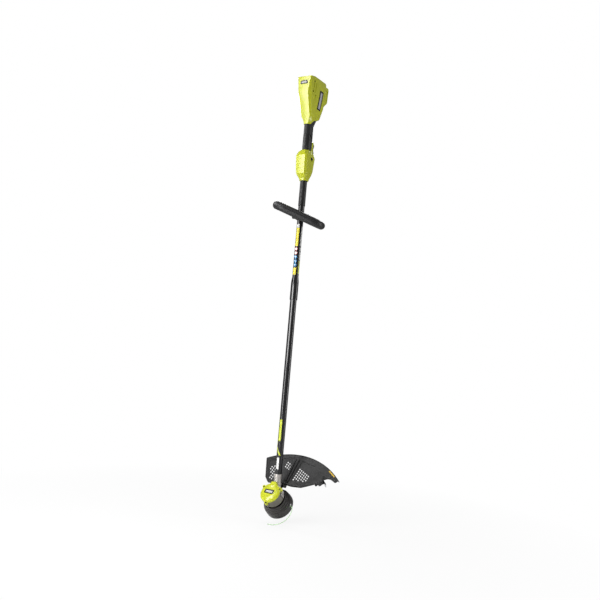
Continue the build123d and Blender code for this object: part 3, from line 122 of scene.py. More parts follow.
camera_data = bpy.data.cameras.new("camera")
camera_data.lens = CAMERA_LENS
camera_data.sensor_width = CAMERA_FILM
camera = bpy.data.objects.new("camera", camera_data)
turn = camera_turn(CAMERA_AZIMUTH, CAMERA_ELEVATION, CAMERA_ROLL)
place = turn @ Vector((CAMERA_SIDEWAYS, 0, CAMERA_DISTANCE))
camera.matrix_world = Matrix.Translation(place) @ turn.to_4x4()
bpy.context.scene.collection.objects.link(camera)
bpy.context.scene.camera = camera
print("camera at", [round(x, 3) for x in place])

# %% [markdown]
# ## Finishes
# Each finish is a small node tree round one Principled shader. A bare colour looks like clay, so
# every finish gets a slow drift in colour and a drift in roughness from noise on Object
# coordinates, and most get a fine grain for the bump. Object coordinates are in metres, so a
# noise scale of 1000 has features about a millimetre wide.


# %% helpers for finishes
def shader_node(tree, kind, **inputs):
    """A node of that kind, with inputs set by name, where _ stands for a space."""
    node = tree.nodes.new("ShaderNode" + kind)
    for name, value in inputs.items():
        node.inputs[name.replace("_", " ")].default_value = value
    return node


def noise(tree, coords, scale, detail=2.0, stretch=(1, 1, 1)):
    """A noise texture on Object coordinates, stretched if asked."""
    texture = shader_node(tree, "TexNoise", Scale=scale, Detail=detail)
    source = coords.outputs["Object"]
    if stretch != (1, 1, 1):
        mapping = shader_node(tree, "Mapping", Scale=stretch)
        tree.links.new(source, mapping.inputs["Vector"])
        source = mapping.outputs["Vector"]
    tree.links.new(source, texture.inputs["Vector"])
    return texture.outputs["Fac"]


ROUGH_SCALE = 6


def finish(name, colour, rough, drift=0.06, drift_scale=25, grain=(0, 0), stretch=(1, 1, 1),
        **shader_inputs):
    """A finish: colour with a slow drift, a (low, high) roughness, and a (scale, height) grain."""
    made = bpy.data.materials.new(name)
    made.use_nodes = True
    tree = made.node_tree
    shader = tree.nodes["Principled BSDF"]
    for key, value in shader_inputs.items():
        shader.inputs[key.replace("_", " ")].default_value = value
    coords = tree.nodes.new("ShaderNodeTexCoord")
    ramp = tree.nodes.new("ShaderNodeValToRGB")
    for element, share in zip(ramp.color_ramp.elements, (1 - drift, 1 + drift)):
        element.color = (*[min(1.0, c * share) for c in colour], 1)
    ramp.color_ramp.elements[0].position = 0.3
    ramp.color_ramp.elements[1].position = 0.7
    tree.links.new(noise(tree, coords, drift_scale), ramp.inputs["Fac"])
    tree.links.new(ramp.outputs["Color"], shader.inputs["Base Color"])
    spread = shader_node(tree, "MapRange", To_Min=rough[0], To_Max=rough[1])
    patches = noise(tree, coords, drift_scale * ROUGH_SCALE, 4.0, stretch)
    tree.links.new(patches, spread.inputs["Value"])
    tree.links.new(spread.outputs["Result"], shader.inputs["Roughness"])
    if grain[1]:
        bump = shader_node(tree, "Bump", Distance=grain[1])
        tree.links.new(noise(tree, coords, grain[0], 3.0, stretch), bump.inputs["Height"])
        tree.links.new(bump.outputs["Normal"], shader.inputs["Normal"])
    return made


print("helpers: shader_node, noise, finish")

# %% plastics and rubber
LIME = finish("lime_plastic", (0.55, 0.585, 0.02), (0.2, 0.3), 0.03, 12, (2600, 0.00002),
    Coat_Weight=0.35, Coat_Roughness=0.12)
BLACK = finish("black_plastic", (0.009, 0.0088, 0.009), (0.36, 0.5), 0.12, 20, (2200, 0.00006))
GREY = finish("grey_plastic", (0.022, 0.019, 0.0175), (0.24, 0.34), 0.08, 20, (1800, 0.00002),
    Coat_Weight=0.2, Coat_Roughness=0.2)
RUBBER = finish("soft_rubber", (0.0065, 0.0065, 0.007), (0.42, 0.58), 0.15, 30, (1500, 0.0001),
    Sheen_Weight=0.04)
SLEEVE = finish("sleeve_foam", (0.008, 0.008, 0.009), (0.4, 0.54), 0.12, 24, (1100, 0.00012),
    Sheen_Weight=0.04)
DARK_PLATE = finish("dark_plate", (0.009, 0.009, 0.01), (0.18, 0.3), 0.1, 60, (900, 0.00001))
print("plastics:", [m.name for m in (LIME, BLACK, GREY, RUBBER, SLEEVE, DARK_PLATE)])

# %% metals and paint
TUBE_PAINT = finish("tube_paint", (0.008, 0.008, 0.009), (0.12, 0.2), 0.1, 18, (700, 0.000012),
    (1, 1, 0.25), Coat_Weight=0.6, Coat_Roughness=0.06)
CAN_PAINT = finish("can_paint", (0.2, 0.186, 0.16), (0.32, 0.42), 0.06, 30, (1600, 0.00003),
    Metallic=0.55)
CAST = finish("cast_alloy", (0.56, 0.53, 0.5), (0.34, 0.46), 0.06, 40, (900, 0.00004), (1, 1, 0.3),
    Metallic=0.85)
ALLOY = finish("bare_alloy", (0.7, 0.7, 0.71), (0.22, 0.32), 0.04, 40, (900, 0.00002), (1, 1, 0.1),
    Metallic=1.0)
STEEL = finish("steel", (0.52, 0.52, 0.53), (0.18, 0.34), 0.06, 50, (1200, 0.00002), (1, 1, 0.2),
    Metallic=1.0)
SCREW = finish("screw_steel", (0.06, 0.06, 0.063), (0.25, 0.38), 0.1, 90, (2500, 0.00002),
    Metallic=0.8)
BRASS = finish("brass_blade", (0.7, 0.52, 0.2), (0.2, 0.3), 0.05, 60, (1500, 0.00001),
    Metallic=1.0)
COPPER = finish("copper_wire", (0.65, 0.28, 0.12), (0.2, 0.3), 0.08, 80, (2400, 0.00006),
    Metallic=0.9)
SPRING = finish("spring_steel", (0.42, 0.42, 0.43), (0.22, 0.3), 0.05, 70, (1500, 0.00002),
    Metallic=1.0)
BOARD = finish("green_board", (0.015, 0.13, 0.05), (0.25, 0.4), 0.12, 160, (1200, 0.00003))
METALS = (TUBE_PAINT, CAN_PAINT, CAST, ALLOY, STEEL, SCREW, BRASS, COPPER, SPRING)
print("metals:", [m.name for m in METALS], "and", BOARD.name)

# %% [markdown]
# ## The cutting lines
# The head throws out two nylon lines. Each is a free length of springy monofilament, cut off
# square at its tip, and it keeps the curl of the spool. A NURBS curve of order 3 through a few
# points gives that one smooth sweep, and a round bevel gives it its 2.4 mm thickness. The nylon
# is milky and lets light through.

# %% cutting lines
LINE_ROUTE_A = (
    (0.0545, 0.01655, -0.80655), (0.066, 0.01343, -0.81084), (0.073, 0.00682, -0.81926),
    (0.075, -0.00203, -0.83075), (0.0735, -0.0113, -0.84318), (0.068, -0.02012, -0.85531),
    (0.0575, -0.02773, -0.86647), (0.0435, -0.03341, -0.87532), (0.0265, -0.03688, -0.88145),
    (0.0085, -0.03816, -0.88423), (-0.008, -0.03738, -0.88418),
)
LINE_ROUTE_B = (
    (-0.0545, 0.0142, -0.80979), (-0.066, 0.01731, -0.8055), (-0.073, 0.02328, -0.79661),
    (-0.075, 0.03148, -0.78464), (-0.0735, 0.04042, -0.77198), (-0.068, 0.04924, -0.75985),
    (-0.0575, 0.0575, -0.74916), (-0.0435, 0.06416, -0.74102), (-0.0265, 0.06892, -0.73583),
    (-0.0085, 0.07117, -0.73375), (0.008, 0.07136, -0.73451),
)
LINE_DIAMETER = 0.0024
NYLON = finish("green_nylon", (0.6, 0.9, 0.5), (0.22, 0.32), 0.05, 60,
    Transmission_Weight=0.45, IOR=1.53)


def cutting_line(name, route, node):
    """One nylon line along its route."""
    curve = bpy.data.curves.new(name, "CURVE")
    curve.dimensions = "3D"
    curve.bevel_depth = LINE_DIAMETER / 2
    curve.bevel_resolution = 4
    curve.resolution_u = 12
    curve.use_fill_caps = True
    spline = curve.splines.new("NURBS")
    spline.points.add(len(route) - 1)
    for point, co in zip(spline.points, route):
        point.co = (*co, 1)
    spline.order_u = 3
    spline.use_endpoint_u = True
    line = bpy.data.objects.new(name, curve)
    bpy.context.scene.collection.objects.link(line)
    curve.materials.append(NYLON)
    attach(line, body_of[node])
    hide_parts(node)


cutting_line("nylon_line_a", LINE_ROUTE_A, "cutting_line_a")
cutting_line("nylon_line_b", LINE_ROUTE_B, "cutting_line_b")

# %% [markdown]
# ## Floor and light
# The floor is pale and plain. Far from the trimmer it turns to plain white for the camera, so
# that no horizon shows, while close by it keeps the soft shadow. The two main lamps are tall and
# narrow on purpose: a gloss tube shows its lamps as long upright highlights. Four smaller boxes
# light the top, the head, the guard and the back. The world is dim for the trimmer and white
# for the camera.


# %% a helper for what the camera sees
def plain_to_camera(tree):
    """A socket that is 1 for rays from the camera, also through the nylon, and else 0."""
    rays = tree.nodes.new("ShaderNodeLightPath")
    seen = tree.nodes.new("ShaderNodeMath")
    seen.operation = "MAXIMUM"
    tree.links.new(rays.outputs["Is Camera Ray"], seen.inputs[0])
    tree.links.new(rays.outputs["Is Transmission Ray"], seen.inputs[1])
    return seen.outputs["Value"]


def mixed(tree, share, first, second, last):
    """A mix of two shaders by a share, linked to the last node's surface."""
    mix = tree.nodes.new("ShaderNodeMixShader")
    tree.links.new(share, mix.inputs["Fac"])
    tree.links.new(first, mix.inputs[1])
    tree.links.new(second, mix.inputs[2])
    tree.links.new(mix.outputs["Shader"], tree.nodes[last].inputs["Surface"])


print("helpers: plain_to_camera, mixed")

# %% floor
FLOOR_HALF = 6.0
FLOOR_WHITE = 0.85
FADE_START = 0.8
FADE_END = 1.7
FADE_LEAST = 0.85
floor_mesh = bpy.data.meshes.new("floor")
signs = ((-1, -1), (1, -1), (1, 1), (-1, 1))
corners = [(x * FLOOR_HALF, y * FLOOR_HALF, cad_box[0].z) for x, y in signs]
floor_mesh.from_pydata(corners, [], [(0, 1, 2, 3)])
floor = bpy.data.objects.new("floor", floor_mesh)
bpy.context.scene.collection.objects.link(floor)

floor_finish = bpy.data.materials.new("floor_white")
floor_finish.use_nodes = True
tree = floor_finish.node_tree
matte = tree.nodes["Principled BSDF"]
matte.inputs["Base Color"].default_value = (FLOOR_WHITE, FLOOR_WHITE, FLOOR_WHITE, 1)
matte.inputs["Roughness"].default_value = 0.9
glow = shader_node(tree, "Emission", Color=(1, 1, 1, 1), Strength=1.0)
coords = tree.nodes.new("ShaderNodeTexCoord")
away = tree.nodes.new("ShaderNodeVectorMath")
away.operation = "LENGTH"
tree.links.new(coords.outputs["Object"], away.inputs[0])
fade = shader_node(tree, "MapRange", From_Min=FADE_START, From_Max=FADE_END, To_Min=FADE_LEAST,
    To_Max=1.0)
tree.links.new(away.outputs["Value"], fade.inputs["Value"])
share = tree.nodes.new("ShaderNodeMath")
share.operation = "MULTIPLY"
tree.links.new(fade.outputs["Result"], share.inputs[0])
tree.links.new(plain_to_camera(tree), share.inputs[1])
mixed(tree, share.outputs["Value"], matte.outputs["BSDF"], glow.outputs["Emission"],
    "Material Output")
floor_mesh.materials.append(floor_finish)
print("floor at z", round(cad_box[0].z, 4))

# %% world
AMBIENT = 0.2
bpy.context.scene.view_settings.view_transform = "Standard"
world = bpy.data.worlds.new("studio")
world.use_nodes = True
bpy.context.scene.world = world
tree = world.node_tree
ambient = tree.nodes["Background"]
ambient.inputs["Color"].default_value = (1, 1, 1, 1)
ambient.inputs["Strength"].default_value = AMBIENT
white = shader_node(tree, "Background", Color=(1, 1, 1, 1), Strength=1.0)
mixed(tree, plain_to_camera(tree), ambient.outputs["Background"], white.outputs["Background"],
    "World Output")
print("world:", world.name)


# %% lamps
def lamp(name, azimuth, distance, height, aim, size, power):
    """A soft box that looks at the tube's axis at the height of its aim."""
    data = bpy.data.lights.new(name, "AREA")
    data.shape = "RECTANGLE"
    data.size, data.size_y = size
    data.energy = power
    lit = bpy.data.objects.new(name, data)
    a = math.radians(azimuth)
    at = Vector((math.sin(a) * distance, -math.cos(a) * distance, height))
    facing = (at - Vector((0, 0, aim))).to_track_quat("Z", "Y")
    lit.matrix_world = Matrix.Translation(at) @ facing.to_matrix().to_4x4()
    bpy.context.scene.collection.objects.link(lit)


# name, azimuth in degrees, distance, height, height of the aim, width and height, watts
LAMPS = (
    ("key_box", -24, 2.2, 0.35, 0.1, (0.5, 3.0), 45),
    ("rim_box", 112, 2.2, 0.2, 0.1, (0.45, 2.6), 19),
    ("top_box", 10, 1.4, 2.2, 0.5, (1.4, 1.4), 12),
    ("head_box", -6, 1.3, -0.05, -0.86, (0.5, 0.5), 6.5),
    ("back_box", 208, 1.3, 1.3, -0.6, (1.2, 0.4), 12),
    ("sheen_box", -72, 0.86, 0.82, -0.7, (0.3, 0.3), 3.5),
)
for row in LAMPS:
    lamp(*row)
print("lamps:", [row[0] for row in LAMPS])

# %% [markdown]
# ## Softened shells
# Moulded parts have no knife edges: each edge carries a small radius that catches the light. The
# CAD solids have sharp edges, so a merged copy of each shell gets a Bevel modifier, and stands
# for the node. The bevel follows only the edges that are sharper than a set angle, so that
# rounded surfaces stay as they are.


# %% a helper for shells
SAME_POINT = 0.000002
FLAT_ANGLE = math.radians(0.4)
SHARP_ANGLE = math.radians(28)
BEVEL_STEPS = 2


def merged_copy(node):
    """A copy of a CAD node's mesh with its doubles merged and its flat faces made whole."""
    mesh = frame["nodes"][node].data.copy()
    mesh.materials.clear()
    if "custom_normal" in mesh.attributes:
        mesh.attributes.remove(mesh.attributes["custom_normal"])
    work = bmesh.new()
    work.from_mesh(mesh)
    bmesh.ops.remove_doubles(work, verts=work.verts, dist=SAME_POINT)
    bmesh.ops.dissolve_limit(work, angle_limit=FLAT_ANGLE, verts=work.verts, edges=work.edges)
    work.to_mesh(mesh)
    work.free()
    return mesh


def shell(name, node, radius, material, slot):
    """A softened copy of a CAD node that stands for it."""
    mesh = merged_copy(node)
    mesh.name = name
    mesh.materials.append(material)
    mesh.shade_smooth()
    mesh.set_sharp_from_angle(angle=SHARP_ANGLE)
    piece = bpy.data.objects.new(name, mesh)
    bpy.context.scene.collection.objects.link(piece)
    bevel = piece.modifiers.new("edges", "BEVEL")
    bevel.width = radius
    bevel.segments = BEVEL_STEPS
    bevel.limit_method = "ANGLE"
    bevel.angle_limit = SHARP_ANGLE
    bevel.harden_normals = True
    bevel.miter_outer = "MITER_ARC"
    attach(piece, body_of[node])
    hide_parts(node)
    return piece


print("helpers: merged_copy, shell")

# %% shells
# piece, node that it stands for, width of the softened edges, finish, slot
SHELLS = (
    ("battery_shell_left", "rear_housing_left", 0.0006, LIME, "lime_plastic"),
    ("battery_shell_right", "rear_housing_right", 0.0006, LIME, "lime_plastic"),
    ("battery_slot", "battery_receiver", 0.0004, BLACK, "black_plastic"),
    ("grip_skin_left", "grip_left", 0.0005, RUBBER, "soft_grip"),
    ("grip_skin_right", "grip_right", 0.0005, RUBBER, "soft_grip"),
    ("palm_lever", "lockout_lever", 0.0005, BLACK, "black_plastic"),
    ("finger_trigger", "trigger", 0.0006, BLACK, "black_plastic"),
    ("thumb_slide", "speed_selector", 0.0002, BLACK, "black_plastic"),
    ("loop_handle", "front_handle", 0.0008, BLACK, "black_plastic"),
    ("clamp_cap", "handle_clamp_cap", 0.0006, BLACK, "black_plastic"),
    ("loop_sleeve", "handle_grip", 0.001, SLEEVE, "soft_grip"),
    ("socket_casting", "motor_mount", 0.0008, CAST, "cast_alloy"),
    ("motor_can", "motor_housing", 0.0004, CAN_PAINT, "can_paint"),
    ("lime_cap", "motor_cap", 0.0006, LIME, "lime_plastic"),
    ("cap_plate", "motor_badge", 0.0004, DARK_PLATE, "badge_plastic"),
    ("line_drum", "spool_housing", 0.0006, GREY, "grey_plastic"),
    ("drum_cover", "spool_cover", 0.0006, GREY, "grey_plastic"),
    ("tap_knob", "bump_knob", 0.001, BLACK, "black_plastic"),
    ("line_guard", "guard", 0.0008, BLACK, "black_plastic"),
    ("blade_bracket", "cutter_bracket", 0.0005, BLACK, "black_plastic"),
    ("trim_blade", "line_cutter", 0.0001, STEEL, "steel"),
)
for row in SHELLS:
    made = shell(*row)
    print("shell", made.name, len(made.data.polygons), "faces")

# %% the black shelf
# The shelf that the guard is screwed to is cast in one with the socket, and painted black. It is
# all of the casting that lies behind SHELF_FRONT and below SHELF_TOP, in millimetres of the head.
SHELF_FRONT = 49
SHELF_TOP = 30
casting = bpy.data.objects["socket_casting"].data
casting.materials.append(BLACK)
painted = 0
for face in casting.polygons:
    _, g, t = head_place(face.center)
    if g > SHELF_FRONT and t < SHELF_TOP:
        face.material_index = 1
        painted += 1
print("black faces on the casting:", painted)

# %% [markdown]
# ## Geometry Nodes: a tree and how it is run
# What repeats on the trimmer, such as screws and stickers, comes from Geometry Nodes. One small
# helper makes a tree with named inputs. Another puts the tree on a mesh as a modifier, sets its
# inputs by their identifiers, and keeps the outcome as a plain mesh.


# %% helpers for geometry nodes
def new_tree(name, **inputs):
    """A geometry tree with an input socket for each named value, where _ stands for a space."""
    tree = bpy.data.node_groups.new(name, "GeometryNodeTree")
    face = tree.interface
    face.new_socket("Geometry", in_out="INPUT", socket_type="NodeSocketGeometry")
    for label, value in inputs.items():
        kind = "NodeSocketBool" if isinstance(value, bool) else "NodeSocketFloat"
        socket = face.new_socket(label.replace("_", " "), in_out="INPUT", socket_type=kind)
        socket.default_value = value
    face.new_socket("Finish", in_out="INPUT", socket_type="NodeSocketMaterial")
    face.new_socket("Geometry", in_out="OUTPUT", socket_type="NodeSocketGeometry")
    return tree, tree.nodes.new("NodeGroupInput").outputs


def geo(tree, kind, settings=None, **inputs):
    """A geometry node: settings are its own options, inputs are values or sockets to link."""
    prefix = "" if kind.startswith(("Shader", "Function")) else "GeometryNode"
    node = tree.nodes.new(prefix + kind)
    for key, value in (settings or {}).items():
        setattr(node, key, value)
    for label, value in inputs.items():
        name = label.replace("_", " ")
        socket = next(k for k in node.inputs if k.name == name and k.enabled)
        if isinstance(value, bpy.types.NodeSocket):
            tree.links.new(value, socket)
        else:
            socket.default_value = value
    return node


def sums(tree, operation, *values):
    """A math node on two or three values or sockets."""
    node = tree.nodes.new("ShaderNodeMath")
    node.operation = operation
    for socket, value in zip(node.inputs, values):
        if isinstance(value, bpy.types.NodeSocket):
            tree.links.new(value, socket)
        else:
            socket.default_value = value
    return node.outputs[0]


def close_tree(tree, given, geometry):
    """The last nodes of every tree: realize the instances, set the finish, and put out."""
    real = geo(tree, "RealizeInstances", Geometry=geometry)
    done = geo(tree, "SetMaterial", Geometry=real.outputs[0], Material=given["Finish"])
    out = tree.nodes.new("NodeGroupOutput")
    tree.links.new(done.outputs[0], out.inputs["Geometry"])


def film_of(tree, surface, thickness):
    """A thin closed solid: the surface, raised by a thickness, and its own back."""
    raised = geo(tree, "ExtrudeMesh", Mesh=surface, Offset_Scale=thickness, Individual=False)
    back = geo(tree, "FlipFaces", Mesh=surface)
    both = geo(tree, "JoinGeometry")
    tree.links.new(raised.outputs["Mesh"], both.inputs[0])
    tree.links.new(back.outputs[0], both.inputs[0])
    return geo(tree, "MergeByDistance", Geometry=both.outputs[0], Distance=0.000001).outputs[0]


def grow(name, tree, body, slot, material, points=None, axes=None, edges=(), smooth=30, **values):
    """Run a tree on a mesh of points, and keep the result as a plain piece on a body."""
    mesh = bpy.data.meshes.new(name)
    mesh.from_pydata(points or [(0, 0, 0)], edges, [])
    if axes:
        store = mesh.attributes.new("axis", "FLOAT_VECTOR", "POINT")
        store.data.foreach_set("vector", [x for axis in axes for x in axis])
    piece = bpy.data.objects.new(name, mesh)
    bpy.context.scene.collection.objects.link(piece)
    modifier = piece.modifiers.new(tree.name, "NODES")
    modifier.node_group = tree
    values["Finish"] = material
    for item in tree.interface.items_tree:
        if item.in_out == "INPUT" and item.name.replace(" ", "_") in values:
            modifier[item.identifier] = values[item.name.replace(" ", "_")]
    seen_by = piece.evaluated_get(bpy.context.evaluated_depsgraph_get())
    plain = bpy.data.meshes.new_from_object(seen_by)
    piece.modifiers.remove(modifier)
    piece.data = plain
    plain.shade_smooth()
    plain.set_sharp_from_angle(angle=math.radians(smooth))
    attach(piece, body)
    print(name, len(plain.vertices), "points,", len(plain.polygons), "faces")
    return piece


print("helpers: new_tree, geo, sums, close_tree, film_of, grow")

# %% [markdown]
# ## The tubes
# Gloss paint shows every facet, and the CAD tubes have few. A lathe is the natural tool for a
# tube: a closed loop of radius and height is turned about the axis in 96 steps. The bell, where
# the upper tube widens over the lower one, is eased with a cosine. A boolean cuts the hole for
# the snap button.

# %% lathe
TUBE_STEPS = 96
DRILL_LENGTH = 0.03
DRILL_MIDDLE_Y = 0.02


def eased(r0, z0, r1, z1, steps=8):
    """Points from one radius to another along a cosine."""
    shares = [i / steps for i in range(steps + 1)]
    return [(r0 + (r1 - r0) * (1 - math.cos(math.pi * s)) / 2, z0 + (z1 - z0) * s) for s in shares]


def lathe(name, node, profile, material, hole=None):
    """A closed solid of revolution about the tube's axis that stands for a CAD node."""
    work = bmesh.new()
    rings = []
    for i in range(TUBE_STEPS):
        a = 2 * math.pi * i / TUBE_STEPS
        ring = [(r * math.sin(a), -r * math.cos(a), z) for r, z in profile]
        rings.append([work.verts.new(point) for point in ring])
    for ring, following in zip(rings, rings[1:] + rings[:1]):
        for j in range(len(profile)):
            k = (j + 1) % len(profile)
            work.faces.new((ring[j], following[j], following[k], ring[k]))
    bmesh.ops.recalc_face_normals(work, faces=work.faces)
    mesh = bpy.data.meshes.new(name)
    work.to_mesh(mesh)
    work.free()
    piece = bpy.data.objects.new(name, mesh)
    bpy.context.scene.collection.objects.link(piece)
    if hole:
        cut = bpy.data.meshes.new("hole")
        work = bmesh.new()
        lying = Matrix.Rotation(math.radians(90), 4, "X")
        placed = Matrix.Translation((0, DRILL_MIDDLE_Y, hole[1])) @ lying
        bmesh.ops.create_cone(work, cap_ends=True, segments=32, radius1=hole[0], radius2=hole[0],
            depth=DRILL_LENGTH, matrix=placed)
        work.to_mesh(cut)
        work.free()
        drill = bpy.data.objects.new("hole", cut)
        bpy.context.scene.collection.objects.link(drill)
        modifier = piece.modifiers.new("hole", "BOOLEAN")
        modifier.operation = "DIFFERENCE"
        modifier.solver = "EXACT"
        modifier.object = drill
        drilled = piece.evaluated_get(bpy.context.evaluated_depsgraph_get())
        mesh = bpy.data.meshes.new_from_object(drilled)
        piece.modifiers.remove(modifier)
        piece.data = mesh
        bpy.data.objects.remove(drill)
    mesh.materials.clear()
    mesh.materials.append(material)
    mesh.shade_smooth()
    mesh.set_sharp_from_angle(angle=math.radians(30))
    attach(piece, body_of[node])
    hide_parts(node)
    print(name, len(mesh.polygons), "faces")


print("a lathe of", TUBE_STEPS, "steps")

# %% the two tubes and the sleeve
UPPER_R = 0.0127
LOWER_R = 0.01325
WALL = 0.0015
BELL_R = 0.0156
BELL_BORE_R = 0.0133
BELL_BORE_TOP = 0.066
BELL_TOP = 0.069
FLARE_TOP = 0.097
SLEEVE_R = 0.0142
FIT = 0.00005
CHAMFER = 0.0004
# radius of the button's hole, and its height on the tube
BUTTON_HOLE = (0.00346, 0.030)
upper_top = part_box("upper_tube")[1].z
lower_low, lower_high = (corner.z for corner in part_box("lower_tube"))
sleeve_low, sleeve_high = (corner.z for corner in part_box("tube_sleeve"))
upper_loop = [(UPPER_R - WALL, upper_top), (UPPER_R, upper_top)]
upper_loop += eased(UPPER_R, FLARE_TOP, BELL_R, BELL_TOP)
# the bell's lip is rounded off in two steps
upper_loop += [(BELL_R, 0.0016), (BELL_R - 0.0003, 0.0004), (BELL_R - 0.0009, 0.0)]
upper_loop += [(BELL_BORE_R, 0.0), (BELL_BORE_R, BELL_BORE_TOP), (UPPER_R - WALL, FLARE_TOP)]
lower_loop = [(LOWER_R - WALL, lower_low), (LOWER_R, lower_low), (LOWER_R, lower_high - CHAMFER)]
lower_loop += [(LOWER_R - CHAMFER, lower_high), (LOWER_R - WALL, lower_high)]
sleeve_loop = [(UPPER_R + FIT, sleeve_low), (SLEEVE_R - CHAMFER, sleeve_low)]
sleeve_loop += [(SLEEVE_R, sleeve_low + 0.0006), (SLEEVE_R, sleeve_high), (UPPER_R + FIT, sleeve_high)]
lathe("tube_upper", "upper_tube", upper_loop, TUBE_PAINT, BUTTON_HOLE)
lathe("tube_lower", "lower_tube", lower_loop, TUBE_PAINT, BUTTON_HOLE)
lathe("sleeve_shell", "tube_sleeve", sleeve_loop, BLACK)

# %% [markdown]
# ## Screws
# The trimmer is held together by six-lobe screws. The tree makes one screw out of a chamfered
# head, a shank and a boolean for the drive, and puts an instance on each point, turned to an
# axis that is stored on the point. The points come from the CAD screws themselves: their loose
# parts give each head's middle and length.


# %% screw tree
LOBES = 6.0
LOBE_DEPTH = 0.13
LOBE_MEAN = 0.9
# shares of the head's height: its chamfer, the drive's depth and the drive's floor
CHAMFER_SHARE = 0.25
DRIVE_SHARE = 1.2
DRIVE_FLOOR = -0.62


def six_lobes(tree, radius, depth):
    """The drive: a disc whose radius waves six times round, raised to a prism."""
    disc = geo(tree, "MeshCircle", {"fill_type": "NGON"}, Vertices=48, Radius=radius)
    here = geo(tree, "InputPosition")
    split = geo(tree, "ShaderNodeSeparateXYZ")
    tree.links.new(here.outputs[0], split.inputs[0])
    angle = sums(tree, "ARCTAN2", split.outputs["Y"], split.outputs["X"])
    wave = sums(tree, "COSINE", sums(tree, "MULTIPLY", angle, LOBES))
    share = sums(tree, "MULTIPLY_ADD", wave, LOBE_DEPTH, LOBE_MEAN)
    moved = tree.nodes.new("ShaderNodeVectorMath")
    moved.operation = "SCALE"
    tree.links.new(here.outputs[0], moved.inputs[0])
    tree.links.new(share, moved.inputs["Scale"])
    shaped = geo(tree, "SetPosition", Geometry=disc.outputs[0], Position=moved.outputs[0])
    return film_of(tree, shaped.outputs[0], depth)


def shifted(tree, geometry, z):
    """The geometry moved along its own z."""
    at = geo(tree, "ShaderNodeCombineXYZ", Z=z)
    return geo(tree, "Transform", Geometry=geometry, Translation=at.outputs[0]).outputs[0]


def screw_tree():
    """One screw on each point: its outer face on the point, its shank behind it."""
    tree, given = new_tree("screws", Head_Radius=0.0036, Head_Height=0.0024, Shank_Radius=0.002,
        Length=0.02, Drive_Radius=0.0016)
    height = given["Head Height"]
    rim = sums(tree, "MULTIPLY", height, CHAMFER_SHARE)
    body = sums(tree, "SUBTRACT", height, rim)
    inner = sums(tree, "SUBTRACT", given["Head Radius"], rim)
    plate = geo(tree, "MeshCylinder", {"fill_type": "NGON"}, Vertices=40,
        Radius=given["Head Radius"], Depth=body)
    slope = geo(tree, "MeshCone", {"fill_type": "NGON"}, Vertices=40, Radius_Top=inner,
        Radius_Bottom=given["Head Radius"], Depth=rim)
    under_rim = sums(tree, "MULTIPLY", rim, -1.0)
    plate_at = shifted(tree, plate.outputs[0], sums(tree, "MULTIPLY_ADD", body, -0.5, under_rim))
    slope_at = shifted(tree, slope.outputs[0], under_rim)
    drive = six_lobes(tree, given["Drive Radius"], sums(tree, "MULTIPLY", height, DRIVE_SHARE))
    drive_at = shifted(tree, drive, sums(tree, "MULTIPLY", height, DRIVE_FLOOR))
    head = geo(tree, "MeshBoolean", {"operation": "UNION", "solver": "EXACT"})
    tree.links.new(plate_at, head.inputs["Mesh 2"])
    tree.links.new(slope_at, head.inputs["Mesh 2"])
    driven = geo(tree, "MeshBoolean", {"operation": "DIFFERENCE", "solver": "EXACT"})
    tree.links.new(head.outputs[0], driven.inputs["Mesh 1"])
    tree.links.new(drive_at, driven.inputs["Mesh 2"])
    reach = sums(tree, "SUBTRACT", given["Length"], height)
    shank = geo(tree, "MeshCylinder", {"fill_type": "NGON"}, Vertices=32,
        Radius=given["Shank Radius"], Depth=reach)
    under_head = sums(tree, "MULTIPLY", height, -1.0)
    shank_at = shifted(tree, shank.outputs[0], sums(tree, "MULTIPLY_ADD", reach, -0.5, under_head))
    screw = geo(tree, "JoinGeometry")
    tree.links.new(driven.outputs[0], screw.inputs[0])
    tree.links.new(shank_at, screw.inputs[0])
    axis = geo(tree, "InputNamedAttribute", {"data_type": "FLOAT_VECTOR"}, Name="axis")
    facing = geo(tree, "FunctionNodeAlignRotationToVector", {"axis": "Z"}, Vector=axis.outputs[0])
    placed = geo(tree, "InstanceOnPoints", Points=given["Geometry"], Instance=screw.outputs[0],
        Rotation=facing.outputs[0])
    close_tree(tree, given, placed.outputs[0])
    return tree


screws = screw_tree()
print("screw tree:", len(screws.nodes), "nodes")


# %% screw places
def screw_places(node, axis):
    """The middle of each screw's outer face, and the screws' length, from a CAD node's loose parts."""
    work = bmesh.new()
    work.from_mesh(frame["nodes"][node].data)
    bmesh.ops.remove_doubles(work, verts=work.verts, dist=SAME_POINT)
    side = axis.orthogonal().normalized()
    other = axis.cross(side)
    seen, places, length = set(), [], 0
    for start in work.verts:
        if start in seen:
            continue
        part, queue = [], [start]
        seen.add(start)
        while queue:
            vertex = queue.pop()
            part.append(vertex.co.copy())
            for edge in vertex.link_edges:
                following = edge.other_vert(vertex)
                if following not in seen:
                    seen.add(following)
                    queue.append(following)
        spans = [[co.dot(d) for co in part] for d in (side, other, axis)]
        middle = [(min(s) + max(s)) / 2 for s in spans]
        places.append(side * middle[0] + other * middle[1] + axis * max(spans[2]))
        length = max(spans[2]) - min(spans[2])
    work.free()
    return places, length


CLAMP_TURN = math.radians(24.5)
CLAMP_AXIS = (-math.sin(CLAMP_TURN), math.cos(CLAMP_TURN), 0)
